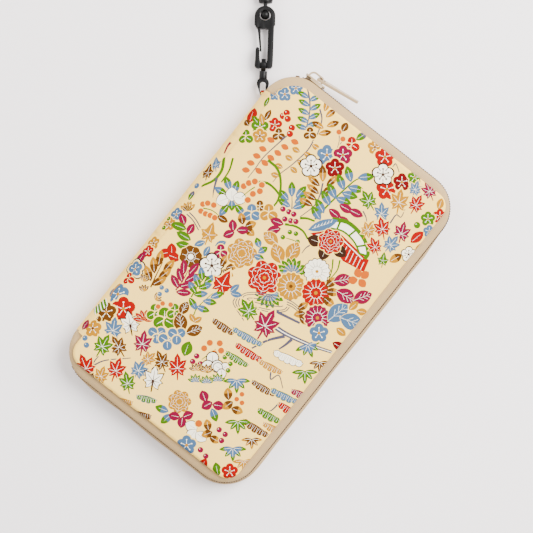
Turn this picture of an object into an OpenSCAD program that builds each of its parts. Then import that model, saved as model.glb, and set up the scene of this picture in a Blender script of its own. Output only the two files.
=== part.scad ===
// Slim zip-around pouch: two padded printed-cotton covers joined by a soft spine, a coil zipper round
// three sides, and a plastic swivel snap hook on a tab at one spine corner.
// The pouch lies on its back cover, with its origin at the centre of that cover's outer face.
// +X runs from the spine to the long zipper side, and +Y towards the short side that holds the slider.

/* [Case] */
// Width of each cover, from the spine to the long zipper side
cover_w = 107.2; // [100:0.2:120]
// Length of each cover, along the spine
cover_l = 184.4; // [170:0.2:200]
// Corner radius of the covers
corner_r = 8; // [6:0.5:10]
// Corner radius beside the strap tab
tab_corner_r = 14; // [11:0.5:16]
// Thickness of the closed case
case_t = 19; // [18.5:0.1:20]
// Thickness of each cover with its padding and lining
cover_t = 3; // [2.8:0.1:3.4]
// Thickness of the cloth that wraps a cover
skin_t = 0.6; // [0.4:0.1:0.8]
// Thickness of the lining
lining_t = 0.5; // [0.3:0.1:0.7]

/* [Zipper] */
// How far the closed zipper stands out past the covers
zip_out = 4.5; // [4:0.1:5]
// Corner radius of the zipper line
zip_r = 18; // [16:0.5:20]
// Thickness of the zipper tape
tape_t = 0.6; // [0.4:0.1:0.8]
// Half of the gap between the two tapes, where the coils mesh
tape_gap = 0.9; // [0.8:0.05:1.1]
// Height of each coil, measured from the middle of the case
coil_h = 2.5; // [2:0.1:2.8]
// Thickness of each coil on its tape
coil_t = 0.9; // [0.7:0.05:1]
// Place of the closed slider's middle along X
slider_x = -41; // [-41:0.5:-38]
// Length of the slider
slider_l = 12; // [11:0.5:12]
// Half width of the slider
slider_hw = 3.8; // [3.6:0.1:4]
// Length of the pull, from its bar to its tip
pull_l = 24; // [20:0.5:28]
// Angle at which the pull stands out from the zipper
pull_out = 7.5; // [6:0.5:20]
// Angle by which the loose pull is rolled about its own length
pull_roll = 18; // [0:1:18]

/* [Hook] */
// Height of the strap tab's loop above the ground
hook_z = 3.65; // [3.6:0.05:3.8]
// Angle of the hook, from +Y towards the spine side
hook_angle = 36.4; // [30:0.2:42]
// Half thickness of the moulded hook
hook_ht = 1.7; // [1.4:0.1:1.7]
// Radius of the bore for a strap or split ring
strap_bore_r = 2; // [1.6:0.1:2.2]

/* [Hidden] */
$fn = 64;
thin = 0.02;
past = 1;

mid = case_t / 2;
cover_hx = cover_w / 2;
cover_hy = cover_l / 2;
pad_hx = cover_hx - skin_t;
pad_hy = cover_hy - skin_t;
pad_r = corner_r - skin_t;
pad_tab_r = tab_corner_r - skin_t;
lining_z = cover_t - lining_t;
zip_hx = cover_hx + zip_out;
zip_hy = cover_hy + zip_out + 0.4;
zip_cx = zip_hx - zip_r;
zip_cy = zip_hy - zip_r;
flare_z = 5.5;
tape_z = mid - tape_gap;

// The spine is half of a soft tube between the covers' edges
spine_r = mid + 0.13;
spine_t = 0.8;
spine_cx = spine_r - zip_hx - 0.6;
spine_end = zip_cy - 0.1;
spine_tab_end = zip_cy - 5.6;

// Binding tape and card pocket inside
binding_in = 4.2;
binding_w = 2.5;
binding_t = 1.2;
pocket_hx = 48;
pocket_y0 = -87;
pocket_y1 = 22;
pocket_t = 0.4;
pocket_z = cover_t + 0.5;

// The coils run from beside the slider, round the long side, to the bottom stop
coil_x0 = slider_x + slider_l / 2 + 0.2;
coil_x1 = -46;
stop_size = [2.2, 1, 1.9];
stop_z = 7.4;
top_stop_a = 31.1;
bottom_stop_a = 23.9;

// The slider's wings stand outside and inside the zipper's face
wing_out = [1.35, 2.2];
wing_in = [-3.1, -2.2];
flange_t = 0.5;
flange_gap = [-0.95, 0.35];
flange_x0 = -2.5;
post_x = [-5.2, -1.5];
post_hz = 0.7;
bridge_x = [-5, 3.6];
bridge_top = 5.85;
bridge_t = 0.9;
bridge_w = 1.6;

// The pull: a bar in the bridge, an eye round the bridge's leg, and a tapering tab
pull_x = slider_x + 0.5;
pull_y = zip_hy + 3.8;
pull_t = 1.4;
pull_hw = [2.6, 1.5];
bar_r = 0.6;
eye_x = [0.6, 3.8];
eye_hw = 1.7;
tab_x = 4.6;

// The hook's chain, measured along it from the strap tab's loop
tab_at = [-zip_hx - 0.8, zip_cy - 1.9, hook_z];
loop_r = [1.6, 2.1];
loop_w = 1.8;
tail_l = 6.5;
tail_w = 2.2;
link_ht = 1;
link_end_y = 15.1;
hook_bar_r = 1.6;
head_y = 40.6;
head_r = 5.45;
notch_at = [-0.05, 32.5];
notch_r = 1.8;
window_y = 41.2;
window_r = 2.9;
gate_root = [-2.95, 34];
gate_tip = [-1.75, 22.7];
gate_root_r = 0.75;
stem_r = 1;
eye_y = 53.2;

// Outline of half sizes hx and hy, with three corners of radius r and the tab corner of radius rt
module outline(hx, hy, r, rt) {
    polygon([
        [hx - r, hy], [rt - hx, hy], [-hx, hy - rt], [-hx, r - hy],
        [r - hx, -hy], [hx - r, -hy], [hx, r - hy], [hx, hy - r]
    ]);
    for (c = [[1, 1, r], [-1, 1, rt], [-1, -1, r], [1, -1, r]])
        translate([c[0] * (hx - c[2]), c[1] * (hy - c[2])])
            circle(r = c[2]);
}

// Plate of one outline between two heights
module plate(z0, z1, hx, hy, r, rt) {
    translate([0, 0, z0])
        linear_extrude(z1 - z0)
            outline(hx, hy, r, rt);
}

// Two discs joined by their tangents
module blade(p0, r0, p1, r1) {
    d = norm(p1 - p0);
    b = asin((r0 - r1) / d);
    translate(p0)
        rotate(atan2(p1[1] - p0[1], p1[0] - p0[0]) - 90) {
            circle(r = r0);
            translate([0, d])
                circle(r = r1);
            polygon([
                [r0 * cos(b), r0 * sin(b)], [r1 * cos(b), d + r1 * sin(b)],
                [-r1 * cos(b), d + r1 * sin(b)], [-r0 * cos(b), r0 * sin(b)]
            ]);
        }
}

// Turns a back-half shape over into the front half
module flip() {
    translate([0, 0, case_t])
        mirror([0, 0, 1])
            children();
}

module cover_shape() {
    difference() {
        plate(0, cover_t, cover_hx, cover_hy, corner_r, tab_corner_r);
        plate(skin_t, cover_t + past, pad_hx, pad_hy, pad_r, pad_tab_r);
    }
}

module padding_shape() {
    plate(skin_t, lining_z, pad_hx, pad_hy, pad_r, pad_tab_r);
}

module lining_shape() {
    plate(lining_z, cover_t, pad_hx, pad_hy, pad_r, pad_tab_r);
}

// Binding round the three zipper sides, over the seam of the tape and the lining
module binding_shape() {
    hx = cover_hx - binding_in + binding_w;
    hy = cover_hy - binding_in + binding_w;
    difference() {
        plate(cover_t, cover_t + binding_t, hx, hy, pad_r, pad_tab_r);
        plate(cover_t - past, cover_t + binding_t + past, hx - binding_w, hy - binding_w,
            pad_r - binding_w, pad_tab_r - binding_w);
        translate([-cover_w, -cover_l, 0])
            cube([cover_w / 2 + tab_corner_r, 2 * cover_l, cover_t + 2 * binding_t]);
    }
}

// Filled shape of the zipper wall: it flares out from the cover's edge, then stands up
module wall_shape(inset, z0) {
    hull() {
        plate(z0, z0 + thin, pad_hx - inset, pad_hy - inset, pad_r - inset, pad_tab_r - inset);
        plate(flare_z, tape_z + inset, zip_hx - inset, zip_hy - inset, zip_r - inset, zip_r - inset);
    }
}

module tape_shape() {
    difference() {
        wall_shape(0, cover_t);
        wall_shape(tape_t, cover_t - 2 * thin);
        translate([-2 * cover_w, -zip_cy, 0])
            cube([2 * cover_w, 2 * zip_cy, case_t]);
    }
}

module coil_shape() {
    difference() {
        plate(mid - coil_h, mid, zip_hx + coil_t, zip_hy + coil_t, zip_r + coil_t, zip_r + coil_t);
        plate(0, case_t, zip_hx, zip_hy, zip_r, zip_r);
        translate([coil_x0 - 2 * cover_w, 0, 0])
            cube([2 * cover_w, cover_l, case_t]);
        translate([coil_x1 - 2 * cover_w, -cover_l, 0])
            cube([2 * cover_w, cover_l, case_t]);
    }
}

module stop_shape() {
    translate([-zip_cx, zip_cy, stop_z])
        rotate(top_stop_a)
            translate([-stop_size[0] / 2, zip_r, 0])
                cube(stop_size);
}

// One half of the spine's tube, from the cover's edge to the fold
module spine_shape(y1) {
    intersection() {
        translate([spine_cx, -spine_end, mid])
            rotate([-90, 0, 0])
                difference() {
                    cylinder(r = spine_r, h = spine_end + y1);
                    translate([0, 0, -past])
                        cylinder(r = spine_r - spine_t, h = spine_end + y1 + 2 * past);
                }
        translate([-cover_w, -cover_l, 0])
            cube([cover_w - cover_hx, 2 * cover_l, mid]);
    }
}

module back_cover() {
    color("bisque")
        cover_shape();
}

module back_padding() {
    color("whitesmoke")
        padding_shape();
}

module back_lining() {
    color("wheat")
        lining_shape();
}

module back_binding() {
    color("tan")
        binding_shape();
}

// Flat slip pocket on the back lining, sewn on three sides and open towards +Y
module card_pocket() {
    color("wheat")
        difference() {
            translate([-pocket_hx, pocket_y0, cover_t])
                cube([2 * pocket_hx, pocket_y1 - pocket_y0, pocket_z - cover_t + pocket_t]);
            translate([past - pocket_hx, pocket_y0 + past, cover_t - past])
                cube([2 * (pocket_hx - past), pocket_y1 - pocket_y0, pocket_z - cover_t + past]);
        }
}

module back_tape() {
    color("tan")
        tape_shape();
}

module back_coil() {
    color("tan")
        coil_shape();
}

module back_stop() {
    color("tan")
        stop_shape();
}

module bottom_stop() {
    color("tan")
        translate([-zip_cx, -zip_cy, mid - coil_h])
            rotate(-bottom_stop_a)
                translate([-stop_size[0] / 2, -zip_r - stop_size[1], 0])
                    cube([stop_size[0], stop_size[1], coil_h - 0.1]);
}

module back_spine() {
    color("bisque")
        spine_shape(spine_tab_end);
}

module front_cover() {
    color("bisque")
        flip()
            cover_shape();
}

module front_padding() {
    color("whitesmoke")
        flip()
            padding_shape();
}

module front_lining() {
    color("wheat")
        flip()
            lining_shape();
}

module front_binding() {
    color("tan")
        flip()
            binding_shape();
}

module front_tape() {
    color("tan")
        flip()
            tape_shape();
}

module front_coil() {
    color("tan")
        flip()
            coil_shape();
}

module front_stop() {
    color("tan")
        flip()
            stop_shape();
}

module front_spine() {
    color("bisque")
        flip()
            spine_shape(spine_end);
}

// Puts a shape on the zipper's face at the slider's middle
module at_slider() {
    translate([slider_x, zip_hy, mid])
        children();
}

// One wing of the slider, a rounded plate between two distances from the zipper's face
module wing(y) {
    translate([0, y[1], 0])
        rotate([90, 0, 0])
            linear_extrude(y[1] - y[0])
                outline(slider_l / 2, slider_hw, 1.2, 1.2);
}

// The flanges that hold the tapes between the wings
module flanges(y0, y1) {
    for (s = [-1, 1])
        translate([flange_x0, y0, s > 0 ? slider_hw - flange_t : -slider_hw])
            cube([slider_l / 2 - flange_x0 - 1.2, y1 - y0, flange_t]);
}

module slider_body() {
    color("tan")
        at_slider() {
            wing(wing_out);
            wing(wing_in);
            flanges(flange_gap[1], wing_out[0]);
            flanges(wing_in[1], flange_gap[0]);
            translate([post_x[0], wing_in[1], -post_hz])
                cube([post_x[1] - post_x[0], wing_out[0] - wing_in[1], 2 * post_hz]);
        }
}

// The bridge that holds the pull's bar, with a long front slope and a steep back
module slider_bridge() {
    w = bridge_x[1] - bridge_x[0];
    h = bridge_top - wing_out[1];
    color("tan")
        at_slider()
            translate([bridge_x[0], wing_out[1], -bridge_w / 2])
                linear_extrude(bridge_w)
                    difference() {
                        bridge_outline(0, w, h, 3, 1.8);
                        bridge_outline(bridge_t, w - bridge_t, h - bridge_t, 2.1, 0.9);
                    }
}

// Outline of the bridge from x0 to x1, of height h, with corner radii r0 and r1
module bridge_outline(x0, x1, h, r0, r1) {
    intersection() {
        union() {
            polygon([
                [x0, 0], [x1, 0], [x1, h - r1], [x1 - r1, h], [x0 + r0, h], [x0, h - r0]
            ]);
            translate([x0 + r0, h - r0])
                circle(r = r0);
            translate([x1 - r1, h - r1])
                circle(r = r1);
        }
        translate([x0 - past, 0])
            square([x1 - x0 + 2 * past, h + past]);
    }
}

module pull_tab() {
    color("tan")
        translate([pull_x, pull_y, mid])
            rotate([0, 0, pull_out])
                rotate([pull_roll, 0, 0]) {
                    cylinder(r = bar_r, h = 2 * pull_hw[0], center = true);
                    rotate([90, 0, 0])
                        linear_extrude(pull_t, center = true)
                            difference() {
                                pull_outline();
                                translate([eye_x[0], -eye_hw])
                                    square([eye_x[1] - eye_x[0], 2 * eye_hw]);
                            }
                }
}

module pull_outline() {
    tip = pull_l - pull_hw[1];
    translate([0, -pull_hw[0]])
        square([tab_x, 2 * pull_hw[0]]);
    polygon([[tab_x, -pull_hw[0]], [tip, -pull_hw[1]], [tip, pull_hw[1]], [tab_x, pull_hw[0]]]);
    translate([tip, 0])
        circle(r = pull_hw[1]);
}

// Puts a shape on the hook's line: Y runs out along the hook, X across it, Z up
module at_hook() {
    translate(tab_at)
        rotate(hook_angle)
            children();
}

// Cylinder across the hook at a distance y along it
module cross_bar(y, r, w, sides = $fn) {
    translate([-w / 2, y, 0])
        rotate([0, 90, 0])
            cylinder(r = r, h = w, $fn = sides);
}

// Folded cloth loop, whose tail is sewn into the seam beside the spine
module strap_tab() {
    color("bisque") {
        at_hook() {
            difference() {
                cross_bar(0, loop_r[1], loop_w);
                cross_bar(0, loop_r[0], loop_w + past);
            }
            translate([-loop_w / 2, -3, -0.55])
                cube([loop_w, 3 - loop_r[0] + 0.2, 1.1]);
        }
        translate([tab_at[0] + 1.4, tab_at[1] - 2.6, cover_t])
            cube([tail_l, tail_w, 1.1]);
    }
}

// Swivel link: a flat eye on the tab, a collar, and a ring round the hook's bar
module strap_link() {
    color([0.12, 0.12, 0.12])
        at_hook() {
            linear_extrude(2 * link_ht, center = true)
                difference() {
                    blade([0, 0.5], 1.5, [0, 5.6], 3.2);
                    blade([0, 2.15], 1.4, [0, 5], 1.4 + thin);
                }
            translate([0, 8, 0])
                rotate([-90, 0, 0])
                    cylinder(r = 2.1, h = 3.9);
            difference() {
                cross_bar(link_end_y, 3.5, 2.4);
                cross_bar(link_end_y, 2.15, 2.4 + past);
            }
        }
}

module hook_body() {
    color([0.12, 0.12, 0.12])
        at_hook()
            difference() {
                union() {
                    cross_bar(link_end_y, hook_bar_r, 6, 12);
                    linear_extrude(2 * hook_ht, center = true)
                        hook_outline();
                }
                hole_through(notch_at, notch_r);
                hole_through([0, window_y], window_r);
                hole_through(gate_root, gate_root_r + 0.15);
                translate([0, window_y, 0])
                    rotate([-90, 0, 0])
                        cylinder(r = stem_r + 0.08, h = head_r + past);
            }
}

module hole_through(at, r) {
    translate([at[0], at[1], -hook_ht - past])
        cylinder(r = r, h = 2 * (hook_ht + past));
}

// The hook's side view: a foot at each end of the bar, the open nose, the back and the head
module hook_outline() {
    for (s = [-1, 1])
        blade([3.05 * s, link_end_y], 1.7, [3.35 * s, 18], 1.35 + 0.2 * s);
    blade([-3.35, 18], 1.15, [-3.45, 23.4], 0.95);
    translate([-2.9, 22.6])
        circle(r = 0.6);
    translate([1.8, 17.6])
        square([3.1, 20]);
    translate([0, head_y])
        circle(r = head_r);
    polygon([
        [-head_r, head_y], [-head_r, 36.3], [-3.9, 34.2], [-3.6, 34], [2, 34], [4.5, 34],
        [4.5, 35.6], [head_r, 36.3], [head_r, head_y]
    ]);
}

// Spring gate that closes the hook's mouth from inside
module hook_gate() {
    color([0.12, 0.12, 0.12])
        at_hook()
            linear_extrude(2.4, center = true)
                blade(gate_root, gate_root_r, gate_tip, 0.45);
}

// Swivel eye: a ball held in the hook's head, a stem, a collar, and a flat eye for a strap
module swivel_eye() {
    color([0.12, 0.12, 0.12])
        at_hook() {
            translate([0, 41.55, 0])
                sphere(r = 2.4);
            translate([0, 43, 0])
                rotate([-90, 0, 0])
                    cylinder(r = stem_r, h = 5.5);
            intersection() {
                translate([0, 47.8, 0])
                    rotate([-90, 0, 0])
                        cylinder(r = 3.6, h = 3.2);
                translate([0, 49.4, 0])
                    sphere(r = 3.8);
            }
            linear_extrude(2.6, center = true)
                difference() {
                    union() {
                        for (s = [-1, 1])
                            blade([2.05 * s, 49.3], 1.7, [0, eye_y], 3.6);
                        translate([-2.05, 48])
                            square([4.1, 3]);
                    }
                    translate([0, eye_y])
                        circle(r = strap_bore_r);
                }
        }
}

back_cover();
back_padding();
back_lining();
back_binding();
card_pocket();
back_tape();
back_coil();
back_stop();
bottom_stop();
back_spine();
front_cover();
front_padding();
front_lining();
front_binding();
front_tape();
front_coil();
front_stop();
front_spine();
strap_tab();
slider_body();
slider_bridge();
pull_tab();
strap_link();
hook_body();
hook_gate();
swivel_eye();
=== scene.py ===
"""Looks of the zippered pouch: padded printed covers, soft spine, coil zipper and snap hook.

Lengths are in millimetres until a mesh is made. The print is laid out on the cloth's own grain,
which is turned on the case, and is cut into the cloth's mesh, so its edges are geometry.
"""

import math

import bmesh
import bpy
from mathutils import Matrix, Vector, noise
from mathutils.geometry import delaunay_2d_cdt


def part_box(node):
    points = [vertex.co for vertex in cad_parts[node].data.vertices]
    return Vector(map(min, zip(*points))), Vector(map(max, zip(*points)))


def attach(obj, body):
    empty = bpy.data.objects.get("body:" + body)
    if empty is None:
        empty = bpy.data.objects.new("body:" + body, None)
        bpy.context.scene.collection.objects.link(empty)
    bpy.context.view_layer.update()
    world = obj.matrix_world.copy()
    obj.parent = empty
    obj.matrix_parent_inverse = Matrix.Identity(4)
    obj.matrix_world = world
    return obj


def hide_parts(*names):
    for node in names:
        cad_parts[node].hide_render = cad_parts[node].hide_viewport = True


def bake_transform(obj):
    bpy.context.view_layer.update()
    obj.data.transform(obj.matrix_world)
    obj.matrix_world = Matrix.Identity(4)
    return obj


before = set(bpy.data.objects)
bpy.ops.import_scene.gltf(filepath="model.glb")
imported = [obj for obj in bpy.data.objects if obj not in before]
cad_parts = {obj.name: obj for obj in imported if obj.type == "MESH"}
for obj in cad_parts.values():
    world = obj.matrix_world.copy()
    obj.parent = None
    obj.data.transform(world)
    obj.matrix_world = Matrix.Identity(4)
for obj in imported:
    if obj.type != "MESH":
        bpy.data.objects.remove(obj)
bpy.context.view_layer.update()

MM = 0.001
TAU = 2 * math.pi


def box_mm(node):
    """Lowest and highest corner of a CAD node, in millimetres."""
    low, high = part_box(node)
    return low / MM, high / MM


# Sizes read from the frame
COVER_LOW, COVER_HIGH = box_mm("front_cover")
COVER_HX, COVER_HY, CASE_T = COVER_HIGH
COVER_T = CASE_T - COVER_LOW.z
MID = CASE_T / 2
TAPE_LOW, TAPE_HIGH = box_mm("front_tape")
ZIP_HX, ZIP_HY = TAPE_HIGH.x, TAPE_HIGH.y
TAPE_GAP = TAPE_LOW.z - MID
COIL_LOW, COIL_HIGH = box_mm("front_coil")
SPINE_X = box_mm("front_spine")[0].x
SPINE_END = box_mm("front_spine")[1].y
SPINE_TAB_END = box_mm("back_spine")[1].y

# Radii of the covers' and the zipper's corners, as in the design
CORNER_R = 8.0
TAB_CORNER_R = 14.0
ZIP_R = 18.0
TAPE_T = 0.6
SPINE_T = 0.8

# Soft shapes
EDGE_R = 1.9
CROWN = 1.1
CROWN_REACH = 9.0
PRINT_TURN = math.radians(38.3)


# ---------------------------------------------------------------- outlines and meshes


def outline(hx, hy, r, rt, closed=False, arc_n=18, short_n=40, long_n=76):
    """Places and outward normals round a rounded rectangle, clockwise from the tab corner."""
    corners = [
        ((rt - hx, hy - rt), rt, 180, short_n),
        ((hx - r, hy - r), r, 90, long_n),
        ((hx - r, r - hy), r, 0, short_n),
        ((r - hx, r - hy), r, -90, long_n),
    ]
    line = []
    for i, (centre, radius, start, count) in enumerate(corners):
        for k in range(arc_n + 1):
            a = math.radians(start - 90 * k / arc_n)
            n = Vector((math.cos(a), math.sin(a)))
            line.append((Vector(centre) + n * radius, n))
        if i == 3 and not closed:
            break
        last = line[-1][0]
        following, far, turn, _ = corners[(i + 1) % 4]
        a = math.radians(turn)
        n = Vector((math.cos(a), math.sin(a)))
        goal = Vector(following) + n * far
        for k in range(1, count):
            line.append((last.lerp(goal, k / count), n))
    return line


def edge_distance(p, hx, hy, r, rt):
    """Distance of p outside a rounded rectangle, and the outward direction there."""
    radius = rt if p.x < 0 < p.y else r
    sx, sy = math.copysign(1, p.x), math.copysign(1, p.y)
    qx, qy = abs(p.x) - hx + radius, abs(p.y) - hy + radius
    if qx > 0 and qy > 0:
        d = math.hypot(qx, qy)
        return d - radius, Vector((sx * qx / d, sy * qy / d))
    if qx > qy:
        return qx - radius, Vector((sx, 0))
    return qy - radius, Vector((0, sy))


def add_mesh(name, verts, faces, *materials, smooth=True):
    """A mesh object from places in millimetres."""
    mesh = bpy.data.meshes.new(name)
    mesh.from_pydata([Vector(v) * MM for v in verts], [], faces)
    for m in materials:
        mesh.materials.append(m)
    piece = bpy.data.objects.new(name, mesh)
    bpy.context.scene.collection.objects.link(piece)
    tidy_normals(mesh)
    mesh.shade_smooth() if smooth else mesh.shade_flat()
    return piece


def tidy_normals(mesh):
    bm = bmesh.new()
    bm.from_mesh(mesh)
    bmesh.ops.recalc_face_normals(bm, faces=bm.faces)
    bm.to_mesh(mesh)
    bm.free()


def grid_faces(rows, columns, wrap_rows=False, wrap_columns=True, caps=True):
    """Quads between rows of points, where each row is one cross-section."""
    faces = []
    for i in range(rows if wrap_rows else rows - 1):
        for j in range(columns if wrap_columns else columns - 1):
            a, b = i * columns, (i + 1) % rows * columns
            k = (j + 1) % columns
            faces.append((a + j, a + k, b + k, b + j))
    if caps and not wrap_rows:
        faces.append(tuple(range(columns)))
        faces.append(tuple(reversed(range((rows - 1) * columns, rows * columns))))
    return faces


def loft(name, sections, *materials, wrap=False, smooth=True):
    """A closed skin over a row of closed cross-sections of equal length, with a UV map in mm."""
    columns = len(sections[0])
    verts = [p for section in sections for p in section]
    faces = grid_faces(len(sections), columns, wrap_rows=wrap)
    piece = add_mesh(name, verts, faces, *materials, smooth=smooth)
    along = [0.0]
    for a, b in zip(sections, sections[1:]):
        along.append(along[-1] + (Vector(b[0]) - Vector(a[0])).length)
    around = [0.0]
    for a, b in zip(sections[0], sections[0][1:]):
        around.append(around[-1] + (Vector(b) - Vector(a)).length)
    layer = piece.data.uv_layers.new(name="cloth")
    for loop in piece.data.loops:
        i, j = divmod(loop.vertex_index, columns)
        layer.data[loop.index].uv = (along[i], around[j])
    return piece


def bevelled(piece, width, segments=3, angle=30):
    """Rounds the piece's sharp edges."""
    modifier = piece.modifiers.new("edges", "BEVEL")
    modifier.width = width * MM
    modifier.segments = segments
    modifier.limit_method = "ANGLE"
    modifier.angle_limit = math.radians(angle)
    modifier.harden_normals = True
    return piece


def wear(piece, body, slot, *nodes):
    """Puts a finished piece on its body, in place of CAD nodes."""
    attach(piece, body)
    if nodes:
        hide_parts(*nodes)
    return piece


# ---------------------------------------------------------------- materials


class Nodes:
    """Short way to build a material's node tree."""

    def __init__(self, name, **shader):
        self.material = bpy.data.materials.new(name)
        self.material.use_nodes = True
        self.tree = self.material.node_tree
        self.shader = self.tree.nodes["Principled BSDF"]
        for key, value in shader.items():
            self.shader.inputs[key.replace("_", " ")].default_value = value

    def add(self, kind, inputs=None, **settings):
        node = self.tree.nodes.new(kind)
        for key, value in settings.items():
            setattr(node, key, value)
        for key, value in (inputs or {}).items():
            if isinstance(value, bpy.types.NodeSocket):
                self.tree.links.new(value, node.inputs[key])
            else:
                node.inputs[key].default_value = value
        return node

    def math(self, operation, a, b=0.0):
        return self.add("ShaderNodeMath", {0: a, 1: b}, operation=operation).outputs[0]

    def mix(self, factor, a, b, blend="MIX"):
        node = self.add("ShaderNodeMix", {0: factor}, data_type="RGBA", blend_type=blend)
        for index, value in ((6, a), (7, b)):
            if isinstance(value, bpy.types.NodeSocket):
                self.tree.links.new(value, node.inputs[index])
            else:
                node.inputs[index].default_value = value
        return node.outputs[2]

    def noise(self, vector, scale, detail=3.0):
        node = self.add(
            "ShaderNodeTexNoise", {"Vector": vector, "Scale": scale, "Detail": detail}
        )
        return node.outputs[0]

    def wave(self, vector, pitch_mm, axis):
        """Ribs of a pitch in millimetres across one axis of a place in millimetres."""
        scale = TAU / pitch_mm / 20
        node = self.add(
            "ShaderNodeTexWave",
            {"Vector": vector, "Scale": scale, "Distortion": 0.0},
            bands_direction=axis,
        )
        return node.outputs[1]

    def object_mm(self, turn=0.0):
        """Place in the case, in millimetres, turned about Z."""
        place = self.add("ShaderNodeTexCoord").outputs["Object"]
        node = self.add("ShaderNodeMapping", {"Vector": place, "Scale": (1000, 1000, 1000)})
        node.inputs["Rotation"].default_value = (0, 0, turn)
        return node.outputs[0]

    def cloth_mm(self):
        return self.add("ShaderNodeUVMap", uv_map="cloth").outputs[0]

    def bump(self, height, depth_mm, strength=1.0):
        node = self.add(
            "ShaderNodeBump",
            {"Height": height, "Distance": depth_mm * MM, "Strength": strength},
        )
        self.tree.links.new(node.outputs[0], self.shader.inputs["Normal"])

    def colour(self, value):
        self.tree.links.new(value, self.shader.inputs["Base Color"])

    def roughness(self, low, high, factor):
        spread = self.math("MULTIPLY", factor, high - low)
        self.tree.links.new(self.math("ADD", spread, low), self.shader.inputs["Roughness"])


def shade(colour, factor):
    return tuple(c * factor for c in colour[:3]) + (1.0,)


def linear(r, g, b):
    """Linear colour of an sRGB colour given in 0 to 255."""
    steps = [c / 255 for c in (r, g, b)]
    return tuple(c / 12.92 if c < 0.04045 else ((c + 0.055) / 1.055) ** 2.4 for c in steps) + (1.0,)


def weave_height(n, place, pitch):
    """Height of a plain weave: two sets of threads, crossing."""
    across = n.wave(place, pitch, "X")
    along = n.wave(place, pitch, "Y")
    return n.math("MULTIPLY", across, along)


def printed_cotton():
    n = Nodes("printed_cotton", Roughness=0.8, Specular_IOR_Level=0.02)
    place = n.object_mm(turn=-PRINT_TURN)
    ink = n.add("ShaderNodeAttribute", attribute_name="ink").outputs["Color"]
    threads = weave_height(n, place, 0.42)
    dimmed = n.mix(1.0, ink, (0.93, 0.92, 0.91, 1.0), "MULTIPLY")
    woven = n.mix(threads, dimmed, ink)
    patchy = n.noise(place, 0.09, 4.0)
    n.colour(n.mix(patchy, n.mix(1.0, woven, (0.97, 0.95, 0.92, 1), "MULTIPLY"), woven))
    n.roughness(0.66, 0.82, patchy)
    n.bump(n.math("ADD", threads, n.math("MULTIPLY", n.noise(place, 0.6), 1.5)), 0.05, 0.5)
    return n.material


def ribbed_cloth(name, colour, pitch, depth, rough=0.8):
    """Woven tape with ribs along its length."""
    n = Nodes(name, Roughness=rough, Specular_IOR_Level=0.15)
    place = n.cloth_mm()
    ribs = n.wave(place, pitch, "Y")
    threads = n.wave(place, pitch * 0.8, "X")
    height = n.math("ADD", ribs, n.math("MULTIPLY", threads, 0.45))
    mottled = n.noise(place, 0.35, 4.0)
    tone = n.mix(height, shade(colour, 0.83), shade(colour, 1.05))
    n.colour(n.mix(n.math("MULTIPLY", mottled, 0.25), tone, shade(colour, 0.84)))
    n.roughness(rough - 0.08, rough + 0.08, mottled)
    n.bump(height, depth, 0.8)
    return n.material


def plain_cloth(name, colour, pitch=0.45, rough=0.85):
    n = Nodes(name, Roughness=rough, Sheen_Weight=0.1)
    place = n.object_mm()
    threads = weave_height(n, place, pitch)
    mottled = n.noise(place, 0.12, 4.0)
    tone = n.mix(threads, shade(colour, 0.88), colour)
    n.colour(n.mix(n.math("MULTIPLY", mottled, 0.25), tone, shade(colour, 0.9)))
    n.bump(threads, 0.05, 0.6)
    return n.material


def foam():
    n = Nodes("padding_foam", Roughness=0.95)
    place = n.object_mm()
    cells = n.add("ShaderNodeTexVoronoi", {"Vector": place, "Scale": 1.6}).outputs["Distance"]
    n.colour(n.mix(cells, linear(226, 221, 210), linear(246, 243, 236)))
    n.bump(cells, 0.2)
    return n.material


def nylon():
    """The coil's nylon: smooth brown monofilament, slightly mottled; its brown is partly painted shade,
    darkened to stand for the shade along the coil's turns.
    """
    # Dark brown: the nylon's own brown, darkened further as painted shade of the coil line
    colour = (0.075, 0.036, 0.018, 1)
    n = Nodes("zipper_coil", Roughness=0.42, Specular_IOR_Level=0.25)
    place = n.object_mm()
    mottled = n.noise(place, 0.5)
    n.colour(n.mix(mottled, shade(colour, 0.85), shade(colour, 1.15)))
    n.roughness(0.36, 0.5, mottled)
    return n.material


def enamel():
    """Beige enamel on a cast slider, with soft orange-peel and uneven gloss."""
    colour = (0.37, 0.26, 0.14, 1)
    n = Nodes("slider_enamel", Roughness=0.33, Specular_IOR_Level=0.55, Coat_Weight=0.25)
    n.shader.inputs["Coat Roughness"].default_value = 0.18
    place = n.object_mm()
    peel = n.noise(place, 1.4, 2.0)
    worn = n.noise(place, 0.8, 5.0)
    n.colour(n.mix(n.math("MULTIPLY", worn, 0.4), colour, shade(colour, 0.86)))
    n.roughness(0.28, 0.42, worn)
    n.bump(peel, 0.04, 0.5)
    return n.material


def hook_plastic():
    """Black acetal with a fine moulded grain."""
    colour = (0.003, 0.003, 0.003, 1)
    n = Nodes("hook_plastic", Roughness=0.28, Specular_IOR_Level=0.14)
    place = n.object_mm()
    grain = n.noise(place, 5.0, 3.0)
    scuffed = n.noise(place, 0.7, 5.0)
    n.colour(n.mix(n.math("MULTIPLY", scuffed, 0.5), colour, (0.006, 0.005, 0.005, 1)))
    n.roughness(0.26, 0.46, scuffed)
    n.bump(grain, 0.02, 0.6)
    return n.material


PRINT = printed_cotton()
TAPE = ribbed_cloth("zipper_tape", (0.42, 0.28, 0.13, 1), 0.62, 0.09)
BINDING = ribbed_cloth("binding_tape", (0.36, 0.22, 0.11, 1), 0.5, 0.06)
LINING = plain_cloth("lining_cloth", (0.68, 0.52, 0.34, 1))
FOAM = foam()
NYLON = nylon()
ENAMEL = enamel()
PLASTIC = hook_plastic()


# ---------------------------------------------------------------- print: inks and motifs

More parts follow.
